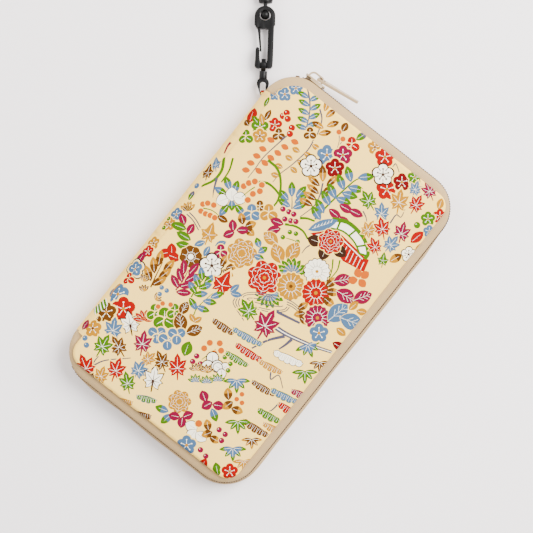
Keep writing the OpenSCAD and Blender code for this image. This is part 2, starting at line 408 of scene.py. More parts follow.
GROUND = (0.98, 0.65, 0.15, 1)
WHITE = (0.97, 0.9, 0.72, 1)
RED = (0.26, 0.002, 0.001, 1)
DARK_RED = (0.12, 0.003, 0.004, 1)
MAGENTA = (0.16, 0.003, 0.026, 1)
GOLD = (0.37, 0.155, 0.001, 1)
BROWN = (0.09, 0.03, 0.005, 1)
GREEN = (0.045, 0.12, 0.002, 1)
BLUE = (0.05, 0.105, 0.19, 1)
ORANGE = (0.44, 0.08, 0.001, 1)
GREY = (0.06, 0.056, 0.085, 1)
DARK = (0.03, 0.012, 0.006, 1)

PRINT_SHAPES = []
GRAIN = Matrix.Rotation(PRINT_TURN, 2)


def put(u, v, turn, points, ink):
    """Prints one shape, drawn about its own origin, at a place on the cloth's grain."""
    a = math.radians(turn)
    c, s = math.cos(a), math.sin(a)
    shape = [GRAIN @ Vector((u + x * c - y * s, v + x * s + y * c)) for x, y in points]
    PRINT_SHAPES.append((shape, ink))


def disc(r, x=0.0, y=0.0, flat=1.0, n=12):
    steps = [TAU * k / n for k in range(n)]
    return [(x + r * math.cos(a), y + r * flat * math.sin(a)) for a in steps]


def lobed(r, lobes, depth, n=6, sharp=0.8):
    """A round outline of rounded petals."""
    line = []
    for k in range(lobes * n):
        a = TAU * k / (lobes * n)
        swell = abs(math.cos(lobes * a / 2)) ** sharp
        out = r * (1 - depth + depth * swell)
        line.append((out * math.cos(a), out * math.sin(a)))
    return line


def almond(length, width, n=7, start=0.0):
    """A pointed leaf along +x, or the part of it from start to its tip."""
    steps = [start + (1 - start) * k / n for k in range(n + 1)]
    half = [width / 2 * math.sin(math.pi * t) ** 0.75 for t in steps]
    upper = [(length * t, h) for t, h in zip(steps, half)]
    lower = [(length * t, -h) for t, h in zip(steps, half)]
    return upper + [p for p in reversed(lower) if abs(p[1]) > 1e-6]


def ray(angle, start, end, width):
    """A thin line from the middle outwards."""
    c, s = math.cos(angle), math.sin(angle)
    w = width / 2
    return [
        (c * start - s * w, s * start + c * w),
        (c * start + s * w, s * start - c * w),
        (c * end + s * w / 2, s * end - c * w / 2),
        (c * end - s * w / 2, s * end + c * w / 2),
    ]


def smooth_line(places, n=7):
    """A curve through places."""
    points = [Vector(p) for p in places]
    points = [points[0] * 2 - points[1]] + points + [points[-1] * 2 - points[-2]]
    line = []
    for a, b, c, d in zip(points, points[1:], points[2:], points[3:]):
        for k in range(n):
            t = k / n
            pull = (c - a) * t + (a * 2 - b * 5 + c * 4 - d) * t**2 + (b * 3 - a - c * 3 + d) * t**3
            line.append(b + pull / 2)
    return line + [points[-2]]


def stroke(places, width, ink, end_width=None):
    """A printed ribbon along a curve."""
    width *= 1.15
    line = smooth_line(places)
    last = len(line) - 1
    far = width * 0.5 if end_width is None else end_width
    left, right = [], []
    for k, p in enumerate(line):
        along = (line[min(k + 1, last)] - line[max(k - 1, 0)]).normalized()
        side = Vector((-along.y, along.x)) * (width + (far - width) * k / last) / 2
        left.append(p + side)
        right.append(p - side)
    put(0, 0, 0, [tuple(p) for p in left + right[::-1]], ink)


def line_of(ink):
    """The fine line round or on a motif."""
    return DARK if ink == WHITE else WHITE


def plum(u, v, r, ink, turn=17):
    """Five round petals and their stamens; a white one is drawn in dark lines."""
    pale = ink == WHITE
    r = (1.18 if pale else 1.3) * r
    put(u, v, turn, lobed(r * (1.15 if pale else 1.17), 5, 0.22), DARK if pale else GROUND)
    put(u, v, turn, lobed(r, 5, 0.24), ink)
    for k in range(5):
        a = TAU * k / 5
        put(u, v, turn, ray(a, r * 0.15, r * 0.5, (0.11 if pale else 0.06) * r), line_of(ink))
        tip = disc(r * (0.1 if pale else 0.07), r * 0.54 * math.cos(a), r * 0.54 * math.sin(a), n=6)
        put(u, v, turn, tip, line_of(ink))
        if pale:
            put(u, v, turn, ray(a + TAU / 10, r * 0.42, r * 0.86, 0.09 * r), DARK)
    put(u, v, turn, disc(r * 0.15), DARK if pale else BROWN if ink == GOLD else GOLD)


def mum(u, v, r, ink, petals=15, turn=5):
    r = 1.14 * r
    put(u, v, turn, lobed(r * 1.08, petals, 0.14, 5), DARK if ink == WHITE else GROUND)
    put(u, v, turn, lobed(r, petals, 0.15, 5), ink)
    for k in range(petals):
        put(u, v, turn, ray(TAU * (k + 0.5) / petals, r * 0.4, r * 0.8, 0.03 * r), line_of(ink))
    put(u, v, turn, lobed(r * 0.43, 9, 0.16, 4), line_of(ink))
    put(u, v, turn, lobed(r * 0.4, 9, 0.16, 4), ink)
    put(u, v, turn, disc(r * 0.13), GOLD if ink != GOLD else BROWN)


def peony(u, v, r, ink, turn=0):
    """Layers of ruffled petals, each edged with a pale line."""
    r = 1.14 * r
    put(u, v, turn, lobed(r * 1.05, 7, 0.16, 7), GROUND)
    for k, (size, lobes) in enumerate(((1.0, 7), (0.76, 6), (0.53, 5), (0.3, 4))):
        if k:
            put(u, v, turn + 23 * k, lobed(r * (size + 0.022), lobes, 0.2, 6), WHITE)
        put(u, v, turn + 23 * k, lobed(r * size, lobes, 0.2, 6), ink)
        for j in range(lobes):
            put(u, v, turn + 23 * k, ray(TAU * j / lobes, r * size * 0.78, r * size * 0.92, 0.03 * r), WHITE)
    put(u, v, turn, disc(r * 0.1), GOLD)


def maple(u, v, r, ink, turn=90, lobes=7):
    """A maple leaf with pointed lobes and veins."""
    r = 1.5 * r
    tips = [math.pi * 1.55 * (k / (lobes - 1) - 0.5) for k in range(lobes)]
    reach = [0.66 + 0.34 * math.cos(a) ** 2 if abs(a) < 1.6 else 0.62 for a in tips]
    for grow, tone in ((1.17, DARK if ink == WHITE else GROUND), (1.0, ink)):
        edge = []
        for k, (a, far) in enumerate(zip(tips, reach)):
            for off, part in ((-0.29, 0.7), (0.0, 1.0), (0.29, 0.7)):
                out = r * grow * far * part
                edge.append((out * math.cos(a + off), out * math.sin(a + off)))
            if k < lobes - 1:
                b = (a + tips[k + 1]) / 2
                edge.append((r * grow * 0.5 * math.cos(b), r * grow * 0.5 * math.sin(b)))
        edge.append((-0.22 * r * grow, 0))
        put(u, v, turn, edge, tone)
    for a, far in zip(tips, reach):
        put(u, v, turn, ray(a, 0, r * far * 0.72, (0.06 if ink == WHITE else 0.03) * r), line_of(ink))
    put(u, v, turn, ray(math.pi, 0, r * 0.75, 0.15 * r), ink if ink != WHITE else DARK)


def leaf(u, v, length, width, turn, ink, tip=None):
    """A slim leaf centred on its place, often with a tip of a second ink."""
    length, width = 1.25 * length, 1.5 * width
    a = math.radians(turn)
    u0, v0 = u - math.cos(a) * length / 2, v - math.sin(a) * length / 2
    if ink == WHITE:
        put(u0 - 0.2 * math.cos(a), v0 - 0.2 * math.sin(a), turn, almond(length + 0.5, width + 0.9), DARK)
    put(u0, v0, turn, almond(length, width), ink)
    if tip:
        put(u0, v0, turn, almond(length, width, 5, 0.55), tip)
    if ink != ORANGE:
        put(u0, v0, turn, ray(0, length * 0.15, length * 0.75, 0.16), line_of(ink))


def veined(u, v, r, turn, ink):
    """A broad leaf with a midrib and side veins."""
    r = 1.2 * r
    a = math.radians(turn)
    u0, v0 = u - math.cos(a) * r, v - math.sin(a) * r
    put(u0 - 0.2 * math.cos(a), v0 - 0.2 * math.sin(a), turn, almond(2 * r + 0.5, r * 1.35 + 0.6), GROUND)
    put(u0, v0, turn, almond(2 * r, r * 1.35), ink)
    put(u0, v0, turn, ray(0, 0, 1.75 * r, 0.2), WHITE)
    for k in range(1, 4):
        x = r * (0.2 + 0.4 * k)
        for side in (-1, 1):
            far = x + 0.42 * r
            vein = [(x, 0), (far, side * 0.36 * r), (far, side * 0.32 * r), (x + 0.12, 0)]
            put(u0, v0, turn, vein, WHITE)


def berries(places, r, ink):
    r = 1.15 * r
    for u, v in places:
        put(u, v, 0, disc(r * 1.25), GROUND)
        put(u, v, 0, disc(r), ink)
        if ink != ORANGE:
            put(u - r * 0.3, v + r * 0.3, 0, disc(r * 0.16, n=6), line_of(ink))


def petals(places, length, width, turns, ink, tip=None):
    for (u, v), turn in zip(places, turns):
        leaf(u, v, length, width, turn, ink, tip)


def trefoil(u, v, r, ink, turn=90):
    r = 1.32 * r
    for k in range(3):
        a = math.radians(turn + 120 * k)
        x, y = u + 0.52 * r * math.cos(a), v + 0.52 * r * math.sin(a)
        put(x, y, 0, disc(r * 0.63), DARK if ink == WHITE else GROUND)
        put(x, y, 0, disc(r * 0.52), ink)
        put(u, v, turn + 120 * k, ray(0, r * 0.15, r * 0.75, 0.06 * r), line_of(ink))


def fan(u, v, r, start, end, n, ink, tip):
    """Half a leaf rosette: slim leaves side by side."""
    for k in range(n):
        turn = start + (end - start) * k / (n - 1)
        put(u, v, turn, almond(r * 1.12, r * 0.5), GROUND)
        put(u, v, turn, almond(r * 1.08, r * 0.44), ink)
        put(u, v, turn, almond(r * 1.08, r * 0.44, 5, 0.5), tip)
        put(u, v, turn, ray(0, r * 0.1, r * 0.8, 0.16), WHITE)


def bamboo(u, v, r, ink, tip=None, turn=-90):
    r = 1.15 * r
    for k in range(5):
        a = turn + (k - 2) * 42
        put(u, v, a, almond(r * (1.0 if k % 2 == 0 else 0.85), r * 0.34), ink)
        if tip:
            put(u, v, a, almond(r * (1.0 if k % 2 == 0 else 0.85), r * 0.34, 4, 0.6), tip)
        put(u, v, a, ray(0, r * 0.1, r * 0.7, 0.2), line_of(ink))


def pine(start, end, ink, thick=3.4, tip=None):
    """A pine bough: a crescent with clumps hanging below it, and needles as fine pale rays."""
    a, b = Vector(start), Vector(end)
    turn = math.degrees(math.atan2(b.y - a.y, b.x - a.x))
    length = (b - a).length
    clumps = max(3, round(length / 2.8))
    r = length / clumps * 0.6
    layers = [(0.35, DARK if ink == WHITE else GROUND), (0.0, tip or ink)]
    if tip:
        layers.append((-0.3, ink))
    for grow, tone in layers:
        for k in range(clumps):
            x = (k + 0.5) * length / clumps
            lift = thick * 0.4 * math.sin(math.pi * (k + 0.5) / clumps)
            put(a.x, a.y, turn, disc(r + grow, x, -lift, 0.9, 12), tone)
        crest = [(length * t / 8, thick * 0.25 * math.sin(math.pi * t / 8) + 0.4 + grow) for t in range(9)]
        left, right = (-0.8 - grow, 0.5), (length + 0.8 + grow, 0.5)
        put(a.x, a.y, turn, [left, *crest, right, (length - 0.6, -0.6), (0.6, -0.6)], tone)
    for k in range(clumps * 3):
        x = (k + 0.5) * length / clumps / 3
        low = -thick * 0.4 * math.sin(math.pi * x / length) - r * 0.5
        lean = 0.4 * (k % 3 - 1)
        needle = [(x + 0.07, 0.5), (x - 0.07, 0.5), (x + lean - 0.05, low), (x + lean + 0.05, low)]
        put(a.x, a.y, turn, needle, line_of(ink))


# ---------------------------------------------------------------- print: what lies where, in mm on the grain


def print_top():
    leaf(12.6, 98.4, 5, 2.6, 10, BROWN)
    for place in ((8, 95.3, 2.6), (13.1, 95.3, 3), (18.8, 98.4, 3)):
        plum(*place, BLUE)
    stroke(((24.9, 98.4), (26, 90.2), (25.4, 83), (23.9, 77.9)), 0.8, GREY)
    left = ((22.6, 95), (23, 90.8), (22.8, 86.4), (22.4, 82.2), (21.6, 78.4))
    right = ((28.6, 93.4), (28.7, 88.6), (28.2, 84), (27, 79.6))
    petals(left, 5.4, 2, (150, 150, 152, 155, 160), BLUE, GREEN)
    petals(right, 5.4, 2, (30, 28, 25, 20), BLUE, GREEN)
    stroke(((31.1, 87.6), (32.1, 82), (29.6, 74.3), (27, 70.7)), 0.8, GREY)
    gold = ((34.7, 89.7), (36.8, 85.6), (37.8, 79.9), (33.7, 75.3), (30.1, 79.4))
    petals(gold, 5.6, 2.2, (70, 40, 20, 10, 150), GOLD, BROWN)
    leaf(43.9, 78.4, 4.4, 2.6, 60, BROWN)
    stroke(((40.9, 75.8), (41, 71), (39.8, 67.1)), 0.5, GREY)
    stroke(((42.9, 72.2), (41.6, 69.6), (39.8, 67.1)), 0.5, GREY)
    berries(((40.9, 75.8), (42.9, 72.2)), 1.2, ORANGE)
    trefoil(47.5, 69.1, 3.2, RED)
    leaf(52.7, 73.8, 6, 2.6, 35, GREEN, GREY)
    plum(59.4, 68.1, 3, GOLD)
    berries(((12.1, 84), (14.1, 85.6), (14.6, 82.5), (16.7, 77.9), (15.7, 74.8)), 1.5, RED)
    plum(8, 79.4, 3, RED)
    plum(0.3, 78.4, 3.6, GREEN)
    plum(0.3, 73.8, 3, GOLD)
    trefoil(-6.9, 73.2, 3, GREEN)
    leaf(4.4, 84.6, 5, 2, 60, BROWN)
    leaf(1.3, 82.5, 5, 2, 100, GOLD)
    leaf(-2.3, 82.5, 5, 2, 130, GREEN)
    leaf(3.3, 91.7, 5, 2, 70, GREEN)
    trefoil(10, 74.3, 2.6, BROWN)
    trefoil(26, 74.8, 2.6, BROWN)
    stroke(((14.1, 73.8), (10, 70.2), (2.3, 63), (-2.3, 56.8), (-5.9, 52.2)), 0.7, GREY)
    clover = ((5.9, 71.7), (1.8, 67.1), (-1.3, 63.5), (-4.4, 59.9), (-6.9, 56.3))
    petals(clover, 3.6, 2, (150, 155, 160, 165, 170), ORANGE)
    clover = ((18.2, 70.7), (13.1, 68.1), (9.5, 65), (5.9, 62.5), (2.8, 59.9), (-0.3, 55.8))
    petals(clover, 3.6, 2, (-25, -30, -35, -35, -40, -40), ORANGE)
    stroke(((27.5, 70.7), (24.4, 66), (16.7, 58.9), (10.5, 54.2), (6.9, 50.1)), 0.7, GREY)
    petals(((18.8, 66.6), (15.2, 62.5), (10, 58.3), (8, 53.7)), 3.6, 2, (150, 150, 155, 160), GOLD)
    petals(((29, 68.1), (24.9, 64), (21.3, 59.9), (17.7, 56.3)), 3.6, 2, (-30, -30, -35, -40), GOLD)
    plum(34.7, 64, 4.1, BLUE)
    plum(42.9, 64, 3.9, MAGENTA)
    plum(38.8, 57.3, 3.9, DARK_RED)
    plum(26.5, 58.3, 4.6, WHITE)
    arc = ((4.4, 61.4), (8.5, 57.8), (10.5, 53.7), (11, 48.6), (10.5, 43.9), (9, 39.8), (6.4, 36.8))
    stroke(arc, 1.3, GREEN, 1.0)
    stroke(((-1.3, 50.1), (3.9, 49.6), (8, 46.5), (11, 42.4), (13.6, 38.3)), 1.3, GREEN, 1.0)
    stroke(((13.1, 28.5), (18.2, 27.5), (22.4, 24.9), (24.9, 20.8)), 1.2, GREEN, 1.0)
    stroke(((20.8, 31.6), (24.6, 31.4), (28.5, 30)), 1.2, GREEN, 1.0)


def print_upper_middle():
    stroke(((16.7, 36.2), (16.8, 40), (16.7, 46)), 0.6, GREY)
    leaf(16.7, 46.4, 6.5, 2.6, 90, BLUE, GREEN)
    petals(((21.4, 45), (21.3, 41.4), (20.8, 38)), 6.5, 2.5, (48, 34, 20), BLUE, GREEN)
    petals(((12.6, 43.4), (12.8, 39.3)), 6, 2.5, (132, 150), BLUE, GREEN)
    stroke(((32.6, 49.6), (31.1, 43.4), (28, 37.8), (20.8, 32.1)), 0.8, GREY)
    leaf(32.6, 54.4, 7, 2.6, 90, GOLD, BROWN)
    petals(((28, 50.6), (27.5, 46.5), (26, 43), (23.9, 39.8)), 6.4, 2.3, (140, 142, 148, 152), BROWN, GOLD)
    petals(((37.3, 50.6), (35.2, 46)), 6.4, 2.3, (42, 35), BROWN, GOLD)
    stroke(((28.5, 31.1), (37.3, 40.3), (48, 50.1), (52.2, 52.2)), 1.0, GREEN)
    up = ((46, 54.2), (41.9, 50.1), (37.3, 45.5), (34.2, 41.9), (31.1, 37.8), (29.2, 34.2))
    petals(up, 7, 2.9, (105, 110, 115, 118, 120, 122), BLUE, GREEN)
    right = ((54.8, 52.7), (49.6, 46.6), (46.4, 43.4), (43.2, 40.4))
    petals(right, 7, 2.9, (5, -12, -16, -20), BLUE, GREEN)
    petals(((44.5, 36.5), (38.8, 33.7), (49.6, 34.2), (43.4, 30)), 6.6, 3, (-30, -40, -25, -35), MAGENTA)
    petals(((-16.2, 49.6), (-12.1, 47.5)), 6, 2.6, (110, 70), BLUE, GREEN)
    petals(((-19.8, 45.5), (-18.2, 35.7), (-10, 35.7)), 6, 2.6, (150, 230, -50), GREEN, BLUE)
    petals(((-14.1, 38.3),), 5, 2.4, (270,), BLUE, GREEN)
    petals(((-18.8, 40.9), (-14.1, 43.9), (-10, 41.8)), 5.6, 4, (200, 90, -15), WHITE)
    stroke(((-2.3, 47.5), (-5.2, 45.6), (-9, 42.4)), 0.6, GREEN)
    orange = ((-8, 48), (-5.4, 49.6), (-2.3, 50.4), (1.3, 48.6), (0.3, 45.4), (-3.3, 44), (-5.9, 40.9))
    berries(orange, 1.4, ORANGE)
    stroke(((-29, 36.8), (-24, 35.4), (-18.8, 31.1)), 0.6, GREEN)
    berries(((-29, 38.8), (-26.5, 39.3), (-23.4, 38.3)), 1.3, ORANGE)
    berries(((-30, 35.2), (-27.6, 33.8), (-25.2, 33), (-22.9, 31.8)), 1.3, ORANGE)
    leaf(-18.8, 31.1, 5, 2.4, -30, BROWN)
    trefoil(0.3, 37.2, 2.6, BROWN)
    trefoil(-3.9, 34, 3.6, BLUE)
    trefoil(4.9, 34, 3.6, GOLD)
    petals(((-9, 31.3), (-4.4, 28.2), (-4.9, 24.6)), 5, 2.8, (100, 20, -40), BROWN, GOLD)
    petals(((-15.7, 23.4), (-13.6, 27.9), (-8.6, 25.4)), 5.2, 3, (200, 95, 0), MAGENTA)
    magenta = ((12.1, 36.2), (15.2, 34.8), (17.7, 33.6), (13.1, 31.1), (16.2, 30.2), (18.8, 29.8))
    berries(magenta, 1.3, MAGENTA)
    petals(((9, 29.6), (7.5, 25.6)), 6, 3, (160, 190), MAGENTA)
    stroke(((18.8, 19.8), (15, 21), (12.1, 21.8)), 0.5, GREEN)
    berries(((12.1, 21.8), (15.7, 24.4), (18.8, 23.6), (19.6, 19.4)), 1.1, GREEN)


def print_spine_side():
    leaf(-4.9, 85.6, 7.2, 4.4, 80, RED)
    leaf(-7.4, 81.6, 4, 2.4, 130, BROWN)
    stroke(((-15.6, 71.5), (-17.2, 69.6), (-18.8, 65.5)), 1.6, MAGENTA)
    stroke(((-18.2, 63), (-19.3, 56.3), (-23.4, 51.1), (-30, 48)), 1.5, GREEN, 1.2)
    stroke(((-13.5, 62.5), (-15.5, 56), (-19.5, 50)), 1.0, GREEN, 0.8)
    maple(-22.9, 59.4, 3.6, BLUE, 100, 5)
    maple(-27.5, 55.4, 4.1, BROWN, 80, 5)
    stroke(((-21.8, 52.2), (-23.4, 46), (-23.9, 42)), 1.2, GREY, 0.2)
    berries(((-33.2, 49.1),), 1.4, BLUE)
    leaf(-35.7, 43.9, 4.5, 2.4, 60, GREEN, GREY)
    fan(-37.2, 35.2, 5.2, 40, 140, 5, BROWN, GOLD)
    plum(-43.4, 34.2, 3, BLUE)
    plum(-47, 29, 3, GOLD)
    berries(((-50.1, 27.5), (-48, 32.4)), 1.1, GREEN)
    petals(((-39.3, 31.1), (-35.2, 26)), 5.2, 2.8, (110, 60), MAGENTA)
    petals(((-41.4, 27.4), (-38.8, 22.4), (-38.8, 17.6)), 7, 3, (160, 150, 165), GREEN)
    stroke(((-37.3, 33.7), (-34.2, 30.6), (-31.1, 25.4)), 0.6, GREY, 0.6)
    stroke(((-36, 34.6), (-32.8, 31.2), (-29.8, 26)), 0.6, GREY, 0.6)
    maple(-26, 22.9, 4.8, GOLD, 70, 5)
    petals(((-30.6, 18.6), (-27, 14.6), (-19.8, 18.4)), 5, 2.2, (200, 240, 20), BLUE)
    trefoil(-19.8, 14.2, 3, MAGENTA)
    plum(-55.2, 19.3, 3, GOLD)
    plum(-57.8, 14.9, 2.8, RED)
    leaf(-61.9, 11.6, 7, 3.6, 55, MAGENTA)
    plum(-64.4, 5.9, 4.6, WHITE)
    plum(-64.4, 5.9, 3.4, BLUE)
    trefoil(-67.4, 0.6, 2.6, RED)
    stroke(((-72.4, -1.4), (-75.8, -4.2), (-77.6, -7.8)), 0.7, GOLD, 0.7)
    put(-83, -13.1, 30, [(-4.5, -2.6), (4.5, -2.6), (4.5, 2.6), (-4.5, 2.6)], GREEN)
    for k in range(5):
        slat = [(2 * k - 4.3, -2.6), (2 * k - 3.7, -2.6), (2 * k - 3.3, 2.6), (2 * k - 3.9, 2.6)]
        put(-83, -13.1, 30, slat, WHITE)
    petals(((-48.4, 13.6), (-45, 15.4), (-43.8, 11.6)), 5.6, 3.4, (190, 90, -20), RED)
    mum(-35.2, 11.8, 5.2, BROWN, 8)
    put(-35.2, 11.8, 0, disc(1.5), WHITE)
    plum(-24.4, 7.2, 5.1, WHITE)
    petals(((-18.2, 9.6), (-14.1, 6.6), (-16.2, 3.4)), 5.4, 2.4, (60, 15, -30), BROWN, GOLD)
    stroke(((-55.8, -3.9), (-52.6, 3), (-49.6, 9)), 0.7, BROWN)
    petals(((-51.1, 11), (-54.2, 7.5), (-57, 3.3)), 7, 2.7, (78, 95, 110), BROWN, GOLD)
    petals(((-46.5, 6.9), (-48.6, 2.9), (-51.4, -0.8)), 7, 2.7, (48, 38, 28), BROWN, GOLD)
    stroke(((-42.9, -5.4), (-39, 0), (-36.4, 5)), 0.7, MAGENTA)
    petals(((-38.8, 6.4), (-40.6, 2.4), (-43.2, -0.9)), 6.6, 2.6, (88, 108, 118), MAGENTA)
    petals(((-33.7, 5.4), (-34.9, 0.9), (-37.2, -2.8), (-38.8, -6.6)), 6.6, 2.6, (48, 28, 12, -5), MAGENTA)
    stroke(((-35, -9), (-31.4, -3), (-27.6, 1.4)), 0.7, GREEN)
    petals(((-29.6, 3), (-31.9, -0.6), (-34.2, -4.2)), 6, 2.4, (98, 112, 122), GREEN, BLUE)
    petals(((-25.4, 0.3), (-27.7, -3.4), (-30, -7.4), (-34, -12.4)), 6, 2.4, (35, 18, 5, -60), GREEN, BLUE)
    maple(-19.3, -2.8, 5.8, RED, 60, 5)
    petals(((-12.6, -4.4), (-11.8, -7.6)), 5, 2.2, (40, -10), BLUE)
    for place in ((-59.9, -0.8, 60), (-59.3, -6.2, 90), (-53.7, -10, 30)):
        fan(*place[:2], 3.6, place[2] - 40, place[2] + 40, 4, GOLD, BROWN)
    berries(((-50.1, -4), (-47.5, -5.6), (-51.1, -7.4)), 1.1, BLUE)
    stroke(((-33.7, -18.2), (-31.6, -14.1), (-23.9, -6.9)), 0.6, GREEN)
    petals(((-21.7, -8), (-25.4, -11.4), (-29, -15)), 6, 2.4, (20, -10, -20), BLUE, GREEN)
    berries(((-49.6, -12.2), (-51.9, -13.8), (-45.5, -12.8)), 1.1, ORANGE)


def print_centre():
    peony(-9, 13.6, 6.9, GOLD)
    petals(((-0.6, 19), (1.8, 15.2), (-0.2, 11.4), (1.6, 8.6)), 4.6, 2.4, (110, 30, -20, -60), BLUE, GREEN)
    veined(5.9, 21.2, 4, 140, GOLD)
    veined(9.5, 13.4, 4.6, 110, GOLD)
    veined(17.2, 14.4, 4.6, 60, GOLD)
    fan(16.4, 3.4, 7.6, 5, 175, 8, BLUE, GREEN)
    fan(5.4, -7, 7.4, -175, -5, 8, BLUE, GREEN)
    mum(29.6, 4.2, 5.8, WHITE)
    peony(2.6, 1, 8, RED)
    mum(16.2, -3.4, 6.4, GOLD)
    mum(29, -6.8, 6.4, RED)
    petals(((37, -1.4), (37.6, -6.4), (35.6, -11.4)), 6, 3, (40, -5, -40), BROWN, GOLD)
    veined(42.8, -0.2, 4.2, 10, MAGENTA)
    veined(44.4, -8.4, 4.8, -30, MAGENTA)
    veined(53, -9, 4.4, 20, MAGENTA)
    petals(((50.6, 3.4), (54.2, 2.4), (48, -0.3), (52.8, -1.8)), 4.2, 2.8, (110, 40, 190, -50), ORANGE)
    for wide in (12.5, 11.4, 9.2):
        loop = []
        for k in range(9):
            a = TAU * k / 10
            height = -11.6 - (wide - 8) * math.sin(a) - 0.2 * wide * math.cos(a)
            loop.append((3 + wide * math.cos(a), height))
        stroke(loop, 0.45, GREY, 0.45)
    for gap in (0.0, 1.3, 2.6):
        stroke(((-10 - gap, -9.5), (-10.6 - gap, -12.6), (-6.9 - gap * 0.4, -18.4 - gap)), 0.5, GREY, 0.5)
        stroke(((14.1, -10 - gap), (17.6, -11.8 - gap), (21.8, -15.4 - gap)), 0.5, GREY, 0.5)
    stroke(((6.9, -15.1), (10.5, -17.2), (20.8, -22.3)), 1.6, GREY, 1.2)
    maple(-5.2, -16.4, 5.2, GREEN, 120)
    maple(2.8, -24, 6.7, MAGENTA, 60)
    petals(((22.4, -13.6), (20.6, -17.6), (23.2, -21)), 5, 2.6, (30, 190, -30), BROWN, GOLD)
    mum(29.8, -19.6, 5.9, MAGENTA)
    plum(30.6, -27.4, 3.9, BLUE)
    veined(40.3, -17, 5.6, 40, BLUE)
    veined(47.4, -21.6, 5.4, -20, BLUE)
    petals(((48.4, -13.4), (52.8, -16.6), (42, -26.8)), 5, 2.6, (40, -10, -40), GOLD)


def print_cart():
    """The flower cart: arched hood, red body with pale slats, and its flowers."""
    body = [(26, 23.9), (36.2, 25.4), (42.4, 22.9), (54.2, 11.6)]
    body += [(56.3, 10), (53.7, 3.9), (42.9, 9.5), (39.8, 13.6)]
    hood = ((37.3, 31.1), (46, 29), (53.2, 21.8), (55.8, 14.1), (54.2, 10.6))
    inner = ((36.6, 26.4), (43, 24.8), (48.4, 19.8), (51, 14.6), (51.6, 12.8))
    put(0, 0, 0, [*hood, *inner[::-1]], WHITE)
    put(0, 0, 0, body, RED)
    stroke(hood, 1.9, GREEN, 1.9)
    stroke(inner, 0.9, GREEN, 0.9)
    outer_line, inner_line = smooth_line(hood, 4), smooth_line(inner, 4)
    for a, b in list(zip(outer_line, inner_line))[2::4]:
        stroke((a, b), 1.0, GREEN, 1.0)
    for k in range(7):
        x, y = 43 + 1.75 * k, 18.2 - 1.6 * k
        put(x, y, -115, [(-0.4, -0.13), (6 - 0.3 * k, -0.13), (6 - 0.3 * k, 0.13), (-0.4, 0.13)], WHITE)
    stroke(((27, 22.6), (36, 23.6), (41.6, 21.4), (53, 10.6)), 0.5, WHITE, 0.5)
    leaf(32.6, 28, 13, 3.6, 18, BLUE)
    for k in range(6):
        put(28.2 + 1.7 * k, 26.6 + 0.55 * k, 60, ray(0, 0, 1.7, 0.3), WHITE)
    petals(((28.5, 20), (33.2, 13.8), (41.2, 14.6)), 6.6, 4.2, (160, 250, -40), DARK)
    peony(36.6, 19.6, 5.8, RED)
    stroke(((37.8, 10.5), (37.3, 5.4), (35.7, -0.3)), 0.8, GREEN)
    stroke(((41.4, 10), (39.8, 4.6), (34.7, -1.3)), 0.8, GREEN)
    stroke(((26, 17.7), (23.8, 16.2), (21.8, 13.6)), 0.7, GREY)


def print_right_corner():
    stroke(((67.6, 59.9), (68.6, 58.3), (70.2, 59.4), (72.2, 54.2)), 0.7, GREY)
    stroke(((65, 42.4), (63.4, 41), (62.5, 37.3)), 0.7, GREY)
    stroke(((67.1, 29), (70.2, 33.2), (72.7, 32.1), (74.8, 36.2)), 0.7, GREY)
    stroke(((53.2, 35.2), (54.7, 32.1), (55.2, 29)), 0.7, GREY)
    for place in ((64.5, 63, 4.1), (65.5, 46.4, 4.4), (92.8, 32.6, 3)):
        plum(*place, RED)
    plum(63.5, 54, 4.5, WHITE)
    plum(73.2, 50.1, 3.6, DARK_RED)
    plum(79.9, 52.6, 3, GREEN)
    plum(86.6, 31.2, 3, GREEN)
    plum(87.4, 24.8, 2.6, BLUE)
    plum(76.8, 13, 3.2, WHITE)
    maple(79.9, 46, 3.6, BLUE, 70)
    maple(87.6, 45, 4.2, MAGENTA, 110)
    maple(71.6, 39.3, 5.1, GOLD, 80)
    maple(80.2, 38, 4.3, RED, 60)
    maple(56.3, 40, 4.6, GREEN, 120)
    maple(62.8, 33.6, 4.3, BLUE, 90)
    maple(55.6, 25, 4.2, GOLD, 60)
    maple(63.2, 25.6, 4.6, RED, 100)
    maple(72.9, 23.2, 4.7, MAGENTA, 75)
    leaf(81, 21.8, 7, 3.4, 40, RED)
    berries(((81, 28),), 1.5, GREEN)
    leaf(93, 39, 5, 2.6, 70, GOLD)
    maple(67.2, 17.6, 4.3, BLUE, 50)
    maple(59.4, 16.4, 4, RED, 110)
    maple(63.4, 9.6, 3.2, GREEN, 80, 5)
    leaf(70, 11, 6, 3, 30, GOLD, BROWN)
    leaf(82.5, 16, 5, 2.6, 50, GOLD)


